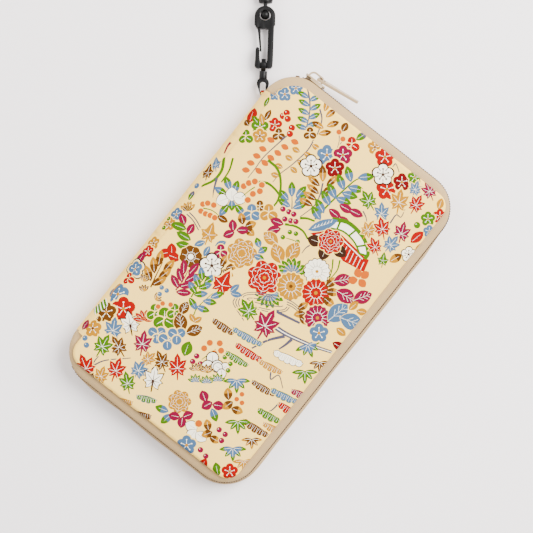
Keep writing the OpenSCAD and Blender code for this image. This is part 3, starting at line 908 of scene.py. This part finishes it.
def print_lower_left():
    plum(-72.7, -7.4, 4.6, BLUE)
    plum(-69.8, -15, 4.9, RED)
    plum(-78.6, -16.6, 4.1, BROWN)
    berries(((-82.8, -20.2),), 1.5, BROWN)
    plum(-85.6, -25, 3.6, GOLD)
    leaf(-90.7, -22.4, 5, 3, 60, MAGENTA)
    berries(((-89.6, -30), (-88.8, -33.6)), 1.3, BLUE)
    maple(-66.2, -23.4, 4.8, WHITE, 100)
    fan(-59.2, -21, 5.4, 10, 170, 6, RED, RED)
    for place in ((-53.6, -17, 3.4), (-48.6, -20.4, 4.6), (-43.4, -16.6, 3.2)):
        trefoil(*place, GREEN)
    for place in ((-38.6, -14.6, 3.2, 60), (-40.4, -22, 4.4, 100), (-33.4, -26, 3.8, 20)):
        veined(*place, BROWN)
    petals(((-34.4, -19.6), (-31.6, -20.6)), 4, 2, (120, 30), GOLD)
    for place in ((-52.6, -28, 3.6), (-47.2, -31.4, 3.6), (-42.4, -28.6, 3.6)):
        trefoil(*place, BLUE, 30)
    maple(-75.2, -26.4, 5.1, BLUE, 80)
    maple(-72, -35, 4.8, BROWN, 120)
    maple(-80.8, -34.6, 5.1, GREEN, 60)
    maple(-60, -33.4, 5.2, MAGENTA, 80)
    leaf(-37.2, -35.4, 6.6, 4, 70, GREEN)
    stroke(((-22.4, -35.7), (-25.6, -38), (-29.6, -41)), 0.6, GREEN)
    berries(((-25.4, -32.4), (-20.3, -32.6), (-28.3, -35.2), (-19.6, -36.4), (-23.2, -37.8)), 1.4, ORANGE)
    berries(((-32.1, -39.2), (-34.2, -42), (-30.2, -43.2)), 1.3, MAGENTA)
    trefoil(-24, -43, 4.2, WHITE)
    trefoil(-19.4, -46, 3.2, WHITE, 30)
    berries(((-17.7, -39.8), (-14.8, -43.2), (-16, -46.6)), 1.1, GREEN)
    stroke(((-86.1, -43.9), (-84, -41), (-82.5, -39.3)), 0.7, GREY)
    stroke(((-85.6, -44.2), (-78.9, -41.4), (-66, -40.2)), 0.8, GREY)
    maple(-89, -46, 5.7, RED, 110)
    maple(-73.8, -47, 5.1, RED, 70)
    maple(-42, -45.6, 5.3, RED, 90)
    maple(-62.2, -47, 4.6, BLUE, 60)
    maple(-67.6, -53.6, 4.6, GREEN, 100)
    maple(-54.6, -52, 5.1, WHITE, 80)
    maple(-50, -42.6, 4.6, BROWN, 110)
    maple(-57.4, -41, 3.6, GOLD, 40)
    maple(-81.6, -50, 4.1, GOLD, 70)
    maple(-88.2, -53, 4.1, BROWN, 60)
    for place in ((-32.4, -46.6), (-27.2, -47.2)):
        fan(*place, 3.8, 20, 160, 5, GOLD, BROWN)
    for place in ((-32.8, -52.4), (-27, -53), (-21.4, -52)):
        fan(*place, 4, 20, 160, 5, BLUE, GREEN)
    leaf(-78.4, -59, 5, 2.6, 30, RED)
    pine((-74.4, -61.6), (-65.4, -63), GOLD)
    pine((-62.8, -59.6), (-53, -62), GREEN, tip=BLUE)
    pine((-65.4, -68.4), (-55.8, -70), BROWN)
    pine((-58.6, -76.6), (-48.6, -79.4), BROWN)
    peony(-41, -62.6, 5.4, GOLD)
    petals(((-50, -66.4), (-47.8, -71.4)), 6, 2.8, (160, 220), BLUE, GREEN)
    petals(((-43.6, -70), (-39.8, -73.2), (-36.6, -69.6)), 5, 3.2, (170, 260, 20), MAGENTA)
    petals(((-34.9, -75.2), (-34.6, -79.6), (-30, -80.6)), 5.2, 3.6, (150, 230, -40), WHITE)
    berries(((-31.1, -73.8),), 1.6, ORANGE)
    petals(((-26.5, -74.6), (-26.9, -79.2), (-22.9, -82)), 5, 2.8, (100, 200, -30), BROWN, GOLD)
    petals(((-28.4, -59.8), (-26.9, -64.4), (-21, -64.6)), 5.2, 3.4, (110, 210, -10), MAGENTA)
    leaf(-23.2, -69.4, 6, 2.8, -70, BLUE, GREEN)
    petals(((-16, -58.6), (-16.2, -64.4), (-11.4, -67)), 5.2, 3, (95, 215, -20), BROWN, GOLD)
    berries(((-11.6, -61.3), (-8.9, -58.8), (-8.9, -63.2)), 1.1, ORANGE)
    berries(((-20.6, -77), (-17.5, -79.4), (-19.4, -82.6)), 1.3, MAGENTA)
    berries(((-30.2, -87.4), (-27.5, -90.6)), 1.3, MAGENTA)
    plum(-37.4, -85, 4, BLUE)
    leaf(-29, -95, 6, 3, 60, RED)
    leaf(-21.8, -97.4, 6, 3, 100, GREEN)
    plum(-15.2, -98.6, 3.4, RED)


def print_lower_right():
    band = ((4.9, -21.8), (13.1, -27.5), (25.4, -33.2), (37.3, -37.3))
    stroke(band, 2.6, GREY, 1.6)
    stroke(band, 0.5, WHITE, 0.3)
    stroke(((13.1, -29), (4.4, -31.1), (-3.9, -35.2)), 1.5, GREY, 0.8)
    stroke(((16.7, -30.6), (13.4, -33.4), (10, -35.7)), 1.5, GREY, 0.8)
    stroke(((5.9, -47), (5.9, -51.1), (10, -49.1), (12.1, -55.8)), 0.8, GREY)
    stroke(((10.5, -63), (6.9, -66.6), (4.9, -67.6)), 0.8, GREY)
    boughs = (
        ((-23.4, -20.4), (-13.1, -27.2), BROWN, None),
        ((-13.1, -25), (1.3, -33.2), BLUE, GREEN),
        ((-11.6, -33), (1.3, -41.2), RED, None),
        ((-16.8, -37), (-5.9, -43.8), GREEN, None),
        ((0.3, -41.6), (11.6, -47.4), GOLD, None),
        ((8, -37), (21.8, -43.2), WHITE, None),
        ((-3.4, -52), (8, -58.8), BROWN, None),
        ((6.4, -56.2), (19.8, -62.8), BLUE, GREEN),
        ((16.9, -56.6), (24.8, -60), MAGENTA, None),
        ((10.5, -63.4), (18.4, -68.6), RED, None),
        ((-0.3, -66.4), (10.5, -72.6), GREEN, None),
        ((-8, -72), (4.4, -79.8), BROWN, None),
        ((2.4, -73.6), (11.2, -78.4), GOLD, None),
    )
    for start, end, ink, tip in boughs:
        pine(start, end, ink, tip=tip)
    bamboo(24.9, -33.4, 6.2, BLUE, GREEN, -70)
    bamboo(31, -42.4, 4.8, BROWN)
    bamboo(23.4, -47, 6, GREEN)
    bamboo(-11.6, -51.4, 6.2, BLUE, GREEN)
    bamboo(-11, -72.6, 6, GREEN)
    bamboo(-13.6, -86.4, 6.2, BLUE, GREEN)
    bamboo(-3.9, -81.8, 4.8, BROWN, GOLD)
    bamboo(-8, -93, 5, GOLD)
    leaf(41, -34.2, 6.4, 3, -30, DARK_RED)


for print_part in (
    print_lower_left,
    print_lower_right,
    print_spine_side,
    print_top,
    print_upper_middle,
    print_cart,
    print_centre,
    print_right_corner,
):
    print_part()


# ---------------------------------------------------------------- printed cloth


COVER_INSET = (COVER_HX - EDGE_R, COVER_HY - EDGE_R, CORNER_R - EDGE_R, TAB_CORNER_R - EDGE_R)
ROLL = EDGE_R * math.pi / 2
COVER_REACH = ROLL + COVER_T - EDGE_R - 0.3
SPINE_R = 9.63
SPINE_AXIS_X = SPINE_X + SPINE_R
SPINE_SWEEP = math.radians(66)
SPINE_REACH = 2 * SPINE_SWEEP * SPINE_R

# Points of neighbouring tiles that are nearer than this are one point
WELD = 2e-3


def ripple(x, y, seed):
    """Small unevenness of soft cloth, in millimetres."""
    slow = noise.noise(Vector((x / 34, y / 34, seed)))
    fast = noise.noise(Vector((x / 9, y / 9, seed + 5)))
    return 0.22 * slow + 0.05 * fast


def cover_place(p, face, seed):
    """Where a point of the flat cloth lies on a cover: face is 1 in front, -1 at the back."""
    d, n = edge_distance(p, *COVER_INSET)
    if d <= 0:
        rise = CROWN * (1 - math.exp(d / CROWN_REACH)) + ripple(p.x, p.y, seed) * min(1, -d / 6)
        if face < 0:
            rise = min(rise * 0.2, 0.0)
        return Vector((p.x, p.y, MID + face * (MID + rise)))
    base = p - n * d
    pucker = 0.08 * noise.noise(Vector((base.x / 3.5, base.y / 3.5, seed + 2)))
    if d < ROLL:
        out, drop = EDGE_R * math.sin(d / EDGE_R), EDGE_R * (1 - math.cos(d / EDGE_R))
    else:
        out, drop = EDGE_R, EDGE_R + d - ROLL
    place = base + n * (out + pucker * min(1.0, d))
    return Vector((place.x, place.y, MID + face * (MID - drop)))


def spine_place(p, depth=0.0):
    """Where the cloth runs round the spine; p.x goes on from the front cover's edge."""
    beta = SPINE_SWEEP - (-COVER_HX - p.x) / SPINE_R
    loose = 0.16 * noise.noise(Vector((p.x / 5, p.y / 16, 3.3))) - 0.1
    r = SPINE_R + loose - depth
    return Vector((SPINE_AXIS_X - r * math.cos(beta), p.y, MID + r * math.sin(beta)))


def counterclockwise(shape):
    """The triangulation takes a clockwise shape for a hole, so each shape is turned the same way."""
    twice = sum(a.cross(b) for a, b in zip(shape, shape[1:] + shape[:1]))
    return shape if twice > 0 else shape[::-1]


def cut_tile(loops, spots, inks, low, high):
    """Triangulates one square tile of a cloth along its print."""

    def near(places):
        xs, ys = [p.x for p in places], [p.y for p in places]
        return min(xs) < high.x and max(xs) > low.x and min(ys) < high.y and max(ys) > low.y

    corners = [low, Vector((high.x, low.y)), high, Vector((low.x, high.y))]
    points = corners + [p for p in spots if near([p])]
    edges, faces, tones = [(0, 1), (1, 2), (2, 3), (3, 0)], [], []
    for loop in loops:
        for pair in zip(loop, loop[1:] + loop[:1]):
            if near(pair):
                edges.append((len(points), len(points) + 1))
                points += pair
    for shape, ink in inks:
        if near(shape):
            faces.append(list(range(len(points), len(points) + len(shape))))
            tones.append(ink)
            points += counterclockwise(shape)
    done = delaunay_2d_cdt(points, edges, faces, 0, 1e-4, True)
    flat, triangles, colours = done[0], [], []
    for triangle, owner in zip(done[2], done[5]):
        middle = (flat[triangle[0]] + flat[triangle[1]] + flat[triangle[2]]) / 3
        if low.x < middle.x < high.x and low.y < middle.y < high.y:
            triangles.append(triangle)
            colours.append(tones[max(owner)] if owner else GROUND)
    return flat, triangles, colours


def cut_cloth(loops, spots, inks, inside, tile=13.0):
    """Triangulates a flat cloth along its print: places, triangles and each triangle's ink."""
    xs, ys = [p.x for p in loops[0]], [p.y for p in loops[0]]
    flat, triangles, colours, known = [], [], [], {}
    columns = math.ceil((max(xs) - min(xs) + 0.2) / tile)
    rows = math.ceil((max(ys) - min(ys) + 0.2) / tile)
    for i in range(columns * rows):
        low = Vector((min(xs) - 0.1 + i % columns * tile, min(ys) - 0.1 + i // columns * tile))
        found, parts, tones = cut_tile(loops, spots, inks, low, low + Vector((tile, tile)))
        index = {}
        for triangle, tone in zip(parts, tones):
            if not inside((found[triangle[0]] + found[triangle[1]] + found[triangle[2]]) / 3):
                continue
            for k in triangle:
                if k not in index:
                    cell = (round(found[k].x * 250), round(found[k].y * 250))
                    around = [(cell[0] + x, cell[1] + y) for x in (0, -1, 1) for y in (0, -1, 1)]
                    match = [known[c] for c in around if c in known]
                    match = [j for j in match if (flat[j] - found[k]).length < WELD]
                    if not match:
                        known[cell] = len(flat)
                        match = [len(flat)]
                        flat.append(found[k])
                    index[k] = match[0]
            corner = tuple(index[k] for k in triangle)
            if len(set(corner)) == 3:
                triangles.append(corner)
                colours.append(tone)
    return flat, triangles, colours


def rim_loop(flat, triangles, on_rim):
    """The outer edge of a triangulated cloth, in order."""
    sides = {(t[k], t[(k + 1) % 3]) for t in triangles for k in range(3)}
    step = {a: b for a, b in sides if (b, a) not in sides and on_rim((flat[a] + flat[b]) / 2)}
    loop = [next(iter(step))]
    while step[loop[-1]] != loop[0]:
        loop.append(step[loop[-1]])
    return loop


def cloth_mesh(name, cut, on_rim, place, lined=None):
    """The printed skin, closed by a plain face behind it, or by its lining."""
    flat, triangles, colours = cut
    used = sorted({i for t in triangles for i in t})
    index = {old: new for new, old in enumerate(used)}
    verts = [place(flat[i]) for i in used]
    faces = [tuple(index[i] for i in t) for t in triangles]
    rim = [index[i] for i in rim_loop(flat, triangles, on_rim)]
    if lined:
        count = len(verts)
        verts += [lined(flat[i]) for i in used]
        faces += [tuple(count + i for i in reversed(t)) for t in faces]
        for a, b in zip(rim, rim[1:] + rim[:1]):
            faces.append((b, a, count + a, count + b))
    else:
        faces.append(tuple(reversed(rim)))
    piece = add_mesh(name, verts, faces, PRINT)
    mesh = piece.data
    ink = mesh.color_attributes.new("ink", "FLOAT_COLOR", "CORNER")
    tones = []
    for k, polygon in enumerate(mesh.polygons):
        tones += list(colours[k] if k < len(colours) else GROUND) * polygon.loop_total
    ink.data.foreach_set("color", tones)
    step = 0.04
    lie = []
    for i in used:
        p = flat[i]
        along = place(p + Vector((step, 0))) - place(p - Vector((step, 0)))
        across = place(p + Vector((0, step))) - place(p - Vector((0, step)))
        lie.append(along.cross(across).normalized())
    normals = []
    curved = len(triangles) * (2 if lined else 1)
    for k, polygon in enumerate(mesh.polygons):
        for v in polygon.vertices:
            if k < curved:
                n = lie[v % len(used)]
                normals.append(n if n.dot(polygon.normal) > 0 else -n)
            else:
                normals.append(polygon.normal.copy())
    mesh.normals_split_custom_set(normals)
    return piece


def make_cover(name, face, body, node, on_cloth, seed):
    """A cover's cloth: it rolls over the padding's edge, and the print goes with it."""
    line = outline(*COVER_INSET, closed=True)
    loops = []
    for out in (COVER_REACH, ROLL, 0.75 * ROLL, 0.5 * ROLL, 0.25 * ROLL, 0, -1.5, -4):
        loops.append([p + n * out for p, n in line][:-1])
    spots = []
    for i in range(-14, 15):
        for j in range(-24, 25):
            p = Vector((4.0 * i, 4.0 * j))
            if edge_distance(p, *COVER_INSET)[0] < -6:
                spots.append(p)
    inks = [([on_cloth(q) for q in shape], ink) for shape, ink in PRINT_SHAPES]
    inks = [s for s in inks if min(edge_distance(q, *COVER_INSET)[0] for q in s[0]) < COVER_REACH]

    def inside(p):
        return edge_distance(p, *COVER_INSET)[0] < COVER_REACH - 1e-3

    cut = cut_cloth(loops, spots, inks, inside)
    piece = cloth_mesh(name, cut, lambda p: not inside(p * 1.002), lambda p: cover_place(p, face, seed))
    return wear(piece, body, "printed_cotton", node)


def same(p):
    return p


def mirrored(p):
    """The back cover shows the same cloth, turned over."""
    return Vector((-p.x, p.y))


def make_spine():
    """The cloth that runs on from the front cover, round the spine, to the back."""
    far = -COVER_HX - SPINE_REACH
    middle = -COVER_HX - SPINE_REACH / 2
    edge = [Vector((-COVER_HX, -SPINE_END)), Vector((-COVER_HX, SPINE_END))]
    edge += [Vector((middle, SPINE_END)), Vector((middle - 2, SPINE_TAB_END)), Vector((far, SPINE_TAB_END))]
    edge += [Vector((far, -SPINE_END))]
    spots = []
    for i in range(1, 12):
        for j in range(-31, 32):
            spots.append(Vector((-COVER_HX - i * SPINE_REACH / 12, 2.5 * j)))
    loop = []
    for a, b in zip(edge, edge[1:] + edge[:1]):
        count = max(1, round((b - a).length / 1.6))
        loop += [a.lerp(b, k / count) for k in range(count)]

    def inside(p):
        if not far < p.x < -COVER_HX or p.y < -SPINE_END:
            return False
        slope = min(1, max(0, (middle - p.x) / 2))
        return p.y < SPINE_END + (SPINE_TAB_END - SPINE_END) * slope

    spots = [p for p in spots if inside(p + Vector((0, 1)))]
    inks = [s for s in PRINT_SHAPES if min(q.x for q in s[0]) < -COVER_HX and max(q.x for q in s[0]) > far]
    cut = cut_cloth([loop], spots, inks, inside)
    centre = Vector((middle, 0))
    piece = cloth_mesh(
        "spine_cloth",
        cut,
        lambda p: not inside(centre + (p - centre) * 1.002),
        spine_place,
        lambda p: spine_place(p, SPINE_T),
    )
    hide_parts("back_spine", "front_spine")
    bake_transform(piece)


make_cover("front_cloth", 1, "front_half", "front_cover", same, 1.7)
make_cover("back_cloth", -1, "back_half", "back_cover", mirrored, 4.1)
make_spine()


# ---------------------------------------------------------------- zipper tapes and coils


ZIP_LINE = outline(ZIP_HX, ZIP_HY, ZIP_R, ZIP_R)
SEWN_LINE = outline(COVER_HX - 0.6, COVER_HY - 0.6, CORNER_R - 0.6, TAB_CORNER_R - 0.6)
ZIP_EDGE = list(ZIP_LINE)
for step in range(1, 6):
    # The last of the tape closes the corner, up to the spine's end
    p, n = SEWN_LINE[-1]
    SEWN_LINE.append((p + Vector((0, 1.5)), n))
    p, n = ZIP_EDGE[-1]
    ZIP_EDGE.append((p + Vector((0, 0.12)), n))
FLARE_Z = 5.5

# The back tape swells out past the coil, from the first long-side corner to the last corner
BACK_SWELL = 2.3
SWELL_FROM = 70
SWELL_TO = len(ZIP_LINE) - 8

# The tape is taut over the first steps, and a sewn tape is about this wide when flat
TAUT_STEPS = 44


def tape_section(k, face):
    """Cross-section of a tape: from the cover's edge it flares out, then stands up to the coil."""
    sewn, _ = SEWN_LINE[k]
    outer, n = ZIP_EDGE[k]
    taut = min(1.0, max(0.0, (TAUT_STEPS - k) / (TAUT_STEPS / 2)))
    sag = 0.35 * noise.noise(Vector((outer.x / 14, outer.y / 14, 2.0 + face)))
    sewn_z, flare_z, top_z = COVER_LOW.z, CASE_T - FLARE_Z, MID + TAPE_GAP
    skin = []
    for j in range(9):
        t = j / 8
        a = math.pi / 2 * t
        place = sewn.lerp(outer, math.sin(a) + (t - math.sin(a)) * taut)
        bow = math.sin(2 * a) * (1 - taut)
        fall = 1 - math.cos(a)
        drop = fall + (t - fall) * taut
        skin.append((place + n * sag * bow * 0.5, sewn_z - (sewn_z - flare_z) * drop, a))
    for j in range(1, 6):
        skin.append((outer, flare_z + (top_z - flare_z) * j / 5, math.pi / 2))
    if face < 0:
        swell = BACK_SWELL * min(1.0, max(0.0, (k - SWELL_FROM) / 14), (SWELL_TO - k) / 14)
        sway = 1 + 0.25 * noise.noise(Vector((outer.x / 20, outer.y / 20, 6.0)))
        out = [math.sin(math.pi / 2 * j / 8) ** 2 for j in range(9)]
        out += [math.cos(math.pi / 2 * j / 5) for j in range(1, 6)]
        skin = [(p + n * max(0.0, swell) * sway * w, z, a) for (p, z, a), w in zip(skin, out)]
    front = [Vector((p.x, p.y, MID + face * (z - MID))) for p, z, a in skin]
    back = []
    for p, z, a in skin:
        q = p - n * TAPE_T * math.sin(a)
        z -= TAPE_T * math.cos(a)
        back.append(Vector((q.x, q.y, MID + face * (z - MID))))
    return front + back[::-1]


def make_tape(name, face, body, node):
    sections = [tape_section(k, face) for k in range(len(ZIP_EDGE))]
    piece = loft(name, sections, TAPE)
    return wear(piece, body, "zipper_tape", node)


def walk(line):
    """Place and outward normal at a distance along an outline."""
    reach = [0.0]
    for a, b in zip(line, line[1:]):
        reach.append(reach[-1] + (b[0] - a[0]).length)

    def at(s):
        k = 0
        low, high = 0, len(reach) - 1
        while high - low > 1:
            k = (low + high) // 2
            if reach[k] <= s:
                low = k
            else:
                high = k
        t = (s - reach[low]) / max(1e-9, reach[high] - reach[low])
        return line[low][0].lerp(line[high][0], t), line[low][1].lerp(line[high][1], t).normalized()

    return at, reach[-1]


COIL_PITCH = 1.27
WIRE_R = 0.26

# Where the slider stands and the coil ends, and how much of the coil lies open before the slider
SLIDER_X = -34.8
COIL_STOP_X = -46
OPEN_COIL = 12.5


def tube(name, places, r, material, sides=6):
    """A round wire along a row of places."""
    sections = []
    last = len(places) - 1
    up = Vector((0.31, 0.17, 0.93))
    for k, p in enumerate(places):
        along = (places[min(k + 1, last)] - places[max(k - 1, 0)]).normalized()
        side = along.cross(up).normalized()
        other = along.cross(side)
        ring = [TAU * j / sides for j in range(sides)]
        sections.append([p + side * r * math.cos(a) + other * r * math.sin(a) for a in ring])
        up = side.cross(along)
    return loft(name, sections, material)


def make_coil(name, face, body, node):
    """One row of the coil: a flattened spiral, its heads just past the middle line."""
    at, total = walk(ZIP_LINE)
    start = math.pi / 2 * ZIP_R + (SLIDER_X + ZIP_HX - ZIP_R)
    stop = total - math.pi / 2 * ZIP_R + math.asin((-COIL_STOP_X - ZIP_HX + ZIP_R) / ZIP_R) * ZIP_R
    begin = start - OPEN_COIL
    turns = round((stop - begin) / COIL_PITCH)
    per = 12
    half_w = (COIL_HIGH.x - ZIP_HX) / 2
    reach_z = (COIL_HIGH.z - COIL_LOW.z) / 2
    places = []
    for k in range(turns * per):
        a = TAU * (k / per) + (math.pi if face < 0 else 0)
        s = begin + (stop - begin) * k / (turns * per)
        p, n = at(s)
        apart = min(1.0, max(0.0, (start - 1 - s) / 7))
        apart = apart * apart * (3 - 2 * apart)
        depth = half_w + (half_w - WIRE_R) * math.sin(a)
        height = reach_z - 0.1 + 0.75 * apart + (reach_z - WIRE_R + 0.12) * math.cos(a)
        q = p + n * depth
        places.append(Vector((q.x, q.y, MID + face * height)))
    piece = tube(name, places, WIRE_R, NYLON)
    return wear(piece, body, "zipper_coil", node)


make_tape("front_zip_tape", 1, "front_half", "front_tape")
make_tape("back_zip_tape", -1, "back_half", "back_tape")
make_coil("front_zip_coil", 1, "front_half", "front_coil")
make_coil("back_zip_coil", -1, "back_half", "back_coil")


# ---------------------------------------------------------------- inside: lining, padding, binding, pocket


def plate(name, line, low, high, material, soften=0.25):
    """A flat piece with rounded edges, cut to an outline of places and outward normals."""
    sections = []
    t = min(soften, (high - low) / 2)
    below = ((t, low), (0.3 * t, low + 0.3 * t), (0, low + t))
    above = ((0, high - t), (0.3 * t, high - 0.3 * t), (t, high))
    for inset, z in below + above:
        sections.append([Vector((p.x - n.x * inset, p.y - n.y * inset, z)) for p, n in line])
    return loft(name, sections, material)


def inset_line(inset):
    line = outline(COVER_HX - inset, COVER_HY - inset, CORNER_R - inset, TAB_CORNER_R - inset, True)
    return line[:-1]


def make_inside(side, body, lining_z, padding_z):
    lining = plate(f"{side}_lining_cloth", inset_line(0.7), *lining_z, LINING, 0.2)
    wear(lining, body, "lining_cloth", f"{side}_lining")
    padding = plate(f"{side}_foam", inset_line(2.4), *padding_z, FOAM, 0.8)
    wear(padding, body, "padding_foam", f"{side}_padding")


BINDING_HX = 50.65
BINDING_HY = 89.25
BINDING_START_X = -39.4
# How far under the case's faces the binding starts and ends, and half of its cross-section
BINDING_LOW = 3.0
BINDING_HIGH = 4.15
BINDING_HALF = ((-1.2, 0), (-1.2, 0.55), (-0.9, 0.9), (-0.35, 0.98))


def make_binding(side, body, face):
    """A folded tape round the lining's edge, sewn down along its middle."""
    base, top = MID - BINDING_LOW, MID - BINDING_HIGH
    line = [(p, n) for p, n in outline(BINDING_HX, BINDING_HY, 6, 12) if p.x > BINDING_START_X]
    sections = []
    for k, (p, n) in enumerate(line):
        lump = 0.06 * noise.noise(Vector((p.x / 2.2, p.y / 2.2, 7.0)))
        ring = []
        for w, t in BINDING_HALF + ((0, 0.8),) + tuple((-w, t) for w, t in BINDING_HALF[::-1]):
            height = base + (top - base) * t + (lump if t > 0.5 else 0)
            ring.append(Vector((p.x + n.x * w, p.y + n.y * w, MID + face * height)))
        sections.append(ring)
    piece = loft(f"{side}_binding_tape", sections, BINDING)
    wear(piece, body, "binding_tape", f"{side}_binding")


def make_pocket():
    """A slip pocket on the back lining, with a hem along its mouth."""
    rows, columns = 30, 25
    hx, low, high = 47.8, -86.8, 21.8
    top, bottom = [], []
    for i in range(rows):
        y = low + (high - low) * i / (rows - 1)
        for j in range(columns):
            x = -hx + 2 * hx * j / (columns - 1)
            edge = min(hx - abs(x), y - low) / 8
            slack = 0.3 * min(1, max(0, edge)) * (0.75 + 0.5 * noise.noise(Vector((x / 22, y / 22, 9))))
            hem = 0.12 if high - y < 6 else 0
            bottom.append(Vector((x, y, 3.02 + slack * 0.8)))
            top.append(Vector((x, y, 3.4 + slack + hem)))
    count = rows * columns
    faces = [tuple(reversed(f)) for f in grid_faces(rows, columns, wrap_columns=False, caps=False)]
    faces += [tuple(count + i for i in f) for f in grid_faces(rows, columns, wrap_columns=False, caps=False)]
    rim = [j for j in range(columns)]
    rim += [i * columns + columns - 1 for i in range(1, rows)]
    rim += [(rows - 1) * columns + j for j in range(columns - 2, -1, -1)]
    rim += [i * columns for i in range(rows - 2, 0, -1)]
    for a, b in zip(rim, rim[1:] + rim[:1]):
        faces.append((a, b, count + b, count + a))
    piece = add_mesh("card_pocket_cloth", bottom + top, faces, LINING)
    wear(piece, "back_half", "lining_cloth", "card_pocket")


# Lowest and highest place of each lining and of the padding under it
FRONT_LINING_Z, FRONT_PADDING_Z = (16.05, 16.5), (16.6, 18.3)
BACK_LINING_Z, BACK_PADDING_Z = (2.5, 2.95), (0.7, 2.4)

make_inside("front", "front_half", FRONT_LINING_Z, FRONT_PADDING_Z)
make_inside("back", "back_half", BACK_LINING_Z, BACK_PADDING_Z)
make_binding("front", "front_half", 1)
make_binding("back", "back_half", -1)
make_pocket()


# ---------------------------------------------------------------- strap tab


HOOK_TURN = math.radians(36.4)
TAB_AT = Vector((-58.9, 77.2, 3.65))
HOOK_X = Vector((math.cos(HOOK_TURN), math.sin(HOOK_TURN), 0))
HOOK_Y = Vector((-math.sin(HOOK_TURN), math.cos(HOOK_TURN), 0))
UP = Vector((0, 0, 1))


def make_strap_tab():
    """A folded strip of the printed cloth that holds the link's eye."""
    loop_r, width, thick = 1.86, 1.8, 0.44
    sewn = Vector((-51.6, 76.0, 3.3))
    neck = TAB_AT - HOOK_Y * 3.2
    path = [sewn + UP * 0.3, sewn.lerp(neck, 0.5) + UP * 0.3, neck + UP * 0.26]
    for k in range(13):
        a = math.radians(-140 + 280 * k / 12)
        path.append(TAB_AT + HOOK_Y * loop_r * math.cos(a) - UP * loop_r * math.sin(a))
    path += [neck - UP * 0.26, sewn.lerp(neck, 0.5) - UP * 0.26, sewn - UP * 0.26]
    last = len(path) - 1
    sections = []
    for k, p in enumerate(path):
        along = (path[min(k + 1, last)] - path[max(k - 1, 0)]).normalized()
        side = HOOK_X if 2 <= k <= last - 2 else Vector((-along.y, along.x, 0)).normalized() * -1
        if side.dot(HOOK_X) < 0:
            side = -side
        out = side.cross(along).normalized()
        ring = []
        for w, t in ((-1, -0.4), (-0.9, -1), (0.9, -1), (1, -0.4), (1, 0.4), (0.9, 1), (-0.9, 1), (-1, 0.4)):
            ring.append(p + side * w * width / 2 + out * t * thick / 2)
        sections.append(ring)
    piece = loft("strap_tab_cloth", sections, PRINT)
    ink = piece.data.color_attributes.new("ink", "FLOAT_COLOR", "CORNER")
    tones = []
    for polygon in piece.data.polygons:
        middle = polygon.center / MM
        wavy = noise.noise(Vector((middle.x / 2, middle.y / 2, middle.z / 2)))
        tone = RED if wavy > 0.25 else GREEN if wavy < -0.3 else GROUND
        tones += list(tone) * polygon.loop_total
    ink.data.foreach_set("color", tones)
    wear(piece, "back_half", "printed_cotton", "strap_tab")


make_strap_tab()


# ---------------------------------------------------------------- hard parts


def dressed(name, node, body, slot, material, edge):
    """A copy of the exact part with its edges rounded and its own material."""
    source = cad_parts[node]
    piece = bpy.data.objects.new(name, source.data.copy())
    piece.matrix_world = source.matrix_world.copy()
    bpy.context.scene.collection.objects.link(piece)
    piece.data.materials.clear()
    piece.data.materials.append(material)
    bm = bmesh.new()
    bm.from_mesh(piece.data)
    bmesh.ops.remove_doubles(bm, verts=bm.verts, dist=1e-6)
    bmesh.ops.dissolve_limit(bm, angle_limit=math.radians(1), verts=bm.verts, edges=bm.edges)
    bm.to_mesh(piece.data)
    bm.free()
    piece.data.shade_smooth()
    bevelled(piece, edge)
    return wear(piece, body, slot, node)


dressed("front_end_stop", "front_stop", "front_half", "zipper_coil", NYLON, 0.3)
dressed("back_end_stop", "back_stop", "back_half", "zipper_coil", NYLON, 0.3)
dressed("bottom_end_stop", "bottom_stop", "back_half", "zipper_coil", NYLON, 0.3)
dressed("slider_shell", "slider_body", "slider", "slider_enamel", ENAMEL, 0.45)
dressed("slider_loop", "slider_bridge", "slider", "slider_enamel", ENAMEL, 0.3)
dressed("slider_pull", "pull_tab", "pull", "slider_enamel", ENAMEL, 0.5)
dressed("link", "strap_link", "link", "hook_plastic", PLASTIC, 0.35)
dressed("hook", "hook_body", "hook", "hook_plastic", PLASTIC, 0.45)
dressed("gate", "hook_gate", "gate", "hook_plastic", PLASTIC, 0.3)
dressed("eye", "swivel_eye", "swivel", "hook_plastic", PLASTIC, 0.4)


# ---------------------------------------------------------------- stage, light and camera


def make_floor():
    bpy.ops.mesh.primitive_plane_add(size=6, location=(0, 0, -0.0006))
    floor = bpy.context.object
    floor.name = "floor"
    n = Nodes("paper", Roughness=0.9)
    place = n.object_mm()
    n.colour(n.mix(n.noise(place, 0.01), linear(243, 236, 236), linear(247, 241, 240)))
    floor.data.materials.append(n.material)


def make_light(name, place, size, power, colour=(1, 1, 1)):
    lamp = bpy.data.lights.new(name, "AREA")
    lamp.size = size
    lamp.energy = power
    lamp.color = colour
    light = bpy.data.objects.new(name, lamp)
    light.location = place
    aim = Vector((0, 0, 0)) - Vector(place)
    light.rotation_euler = aim.to_track_quat("-Z", "Y").to_euler()
    bpy.context.scene.collection.objects.link(light)


def make_camera():
    lens = bpy.data.cameras.new("camera")
    lens.lens = 100.7
    lens.sensor_width = 36
    camera = bpy.data.objects.new("camera", lens)
    camera.location = (-1.3 * MM, 7.6 * MM, 785 * MM)
    camera.rotation_euler = (0, 0, PRINT_TURN)
    bpy.context.scene.collection.objects.link(camera)
    bpy.context.scene.camera = camera


def make_world():
    world = bpy.data.worlds.new("studio")
    world.use_nodes = True
    background = world.node_tree.nodes["Background"]
    background.inputs["Color"].default_value = (1.0, 0.985, 0.98, 1)
    background.inputs["Strength"].default_value = 1.05
    bpy.context.scene.world = world


make_floor()
make_world()
make_light("key", (0.35, 0.75, 0.95), 0.9, 56)
make_light("fill", (-0.9, -0.2, 0.8), 1.2, 15)
make_camera()
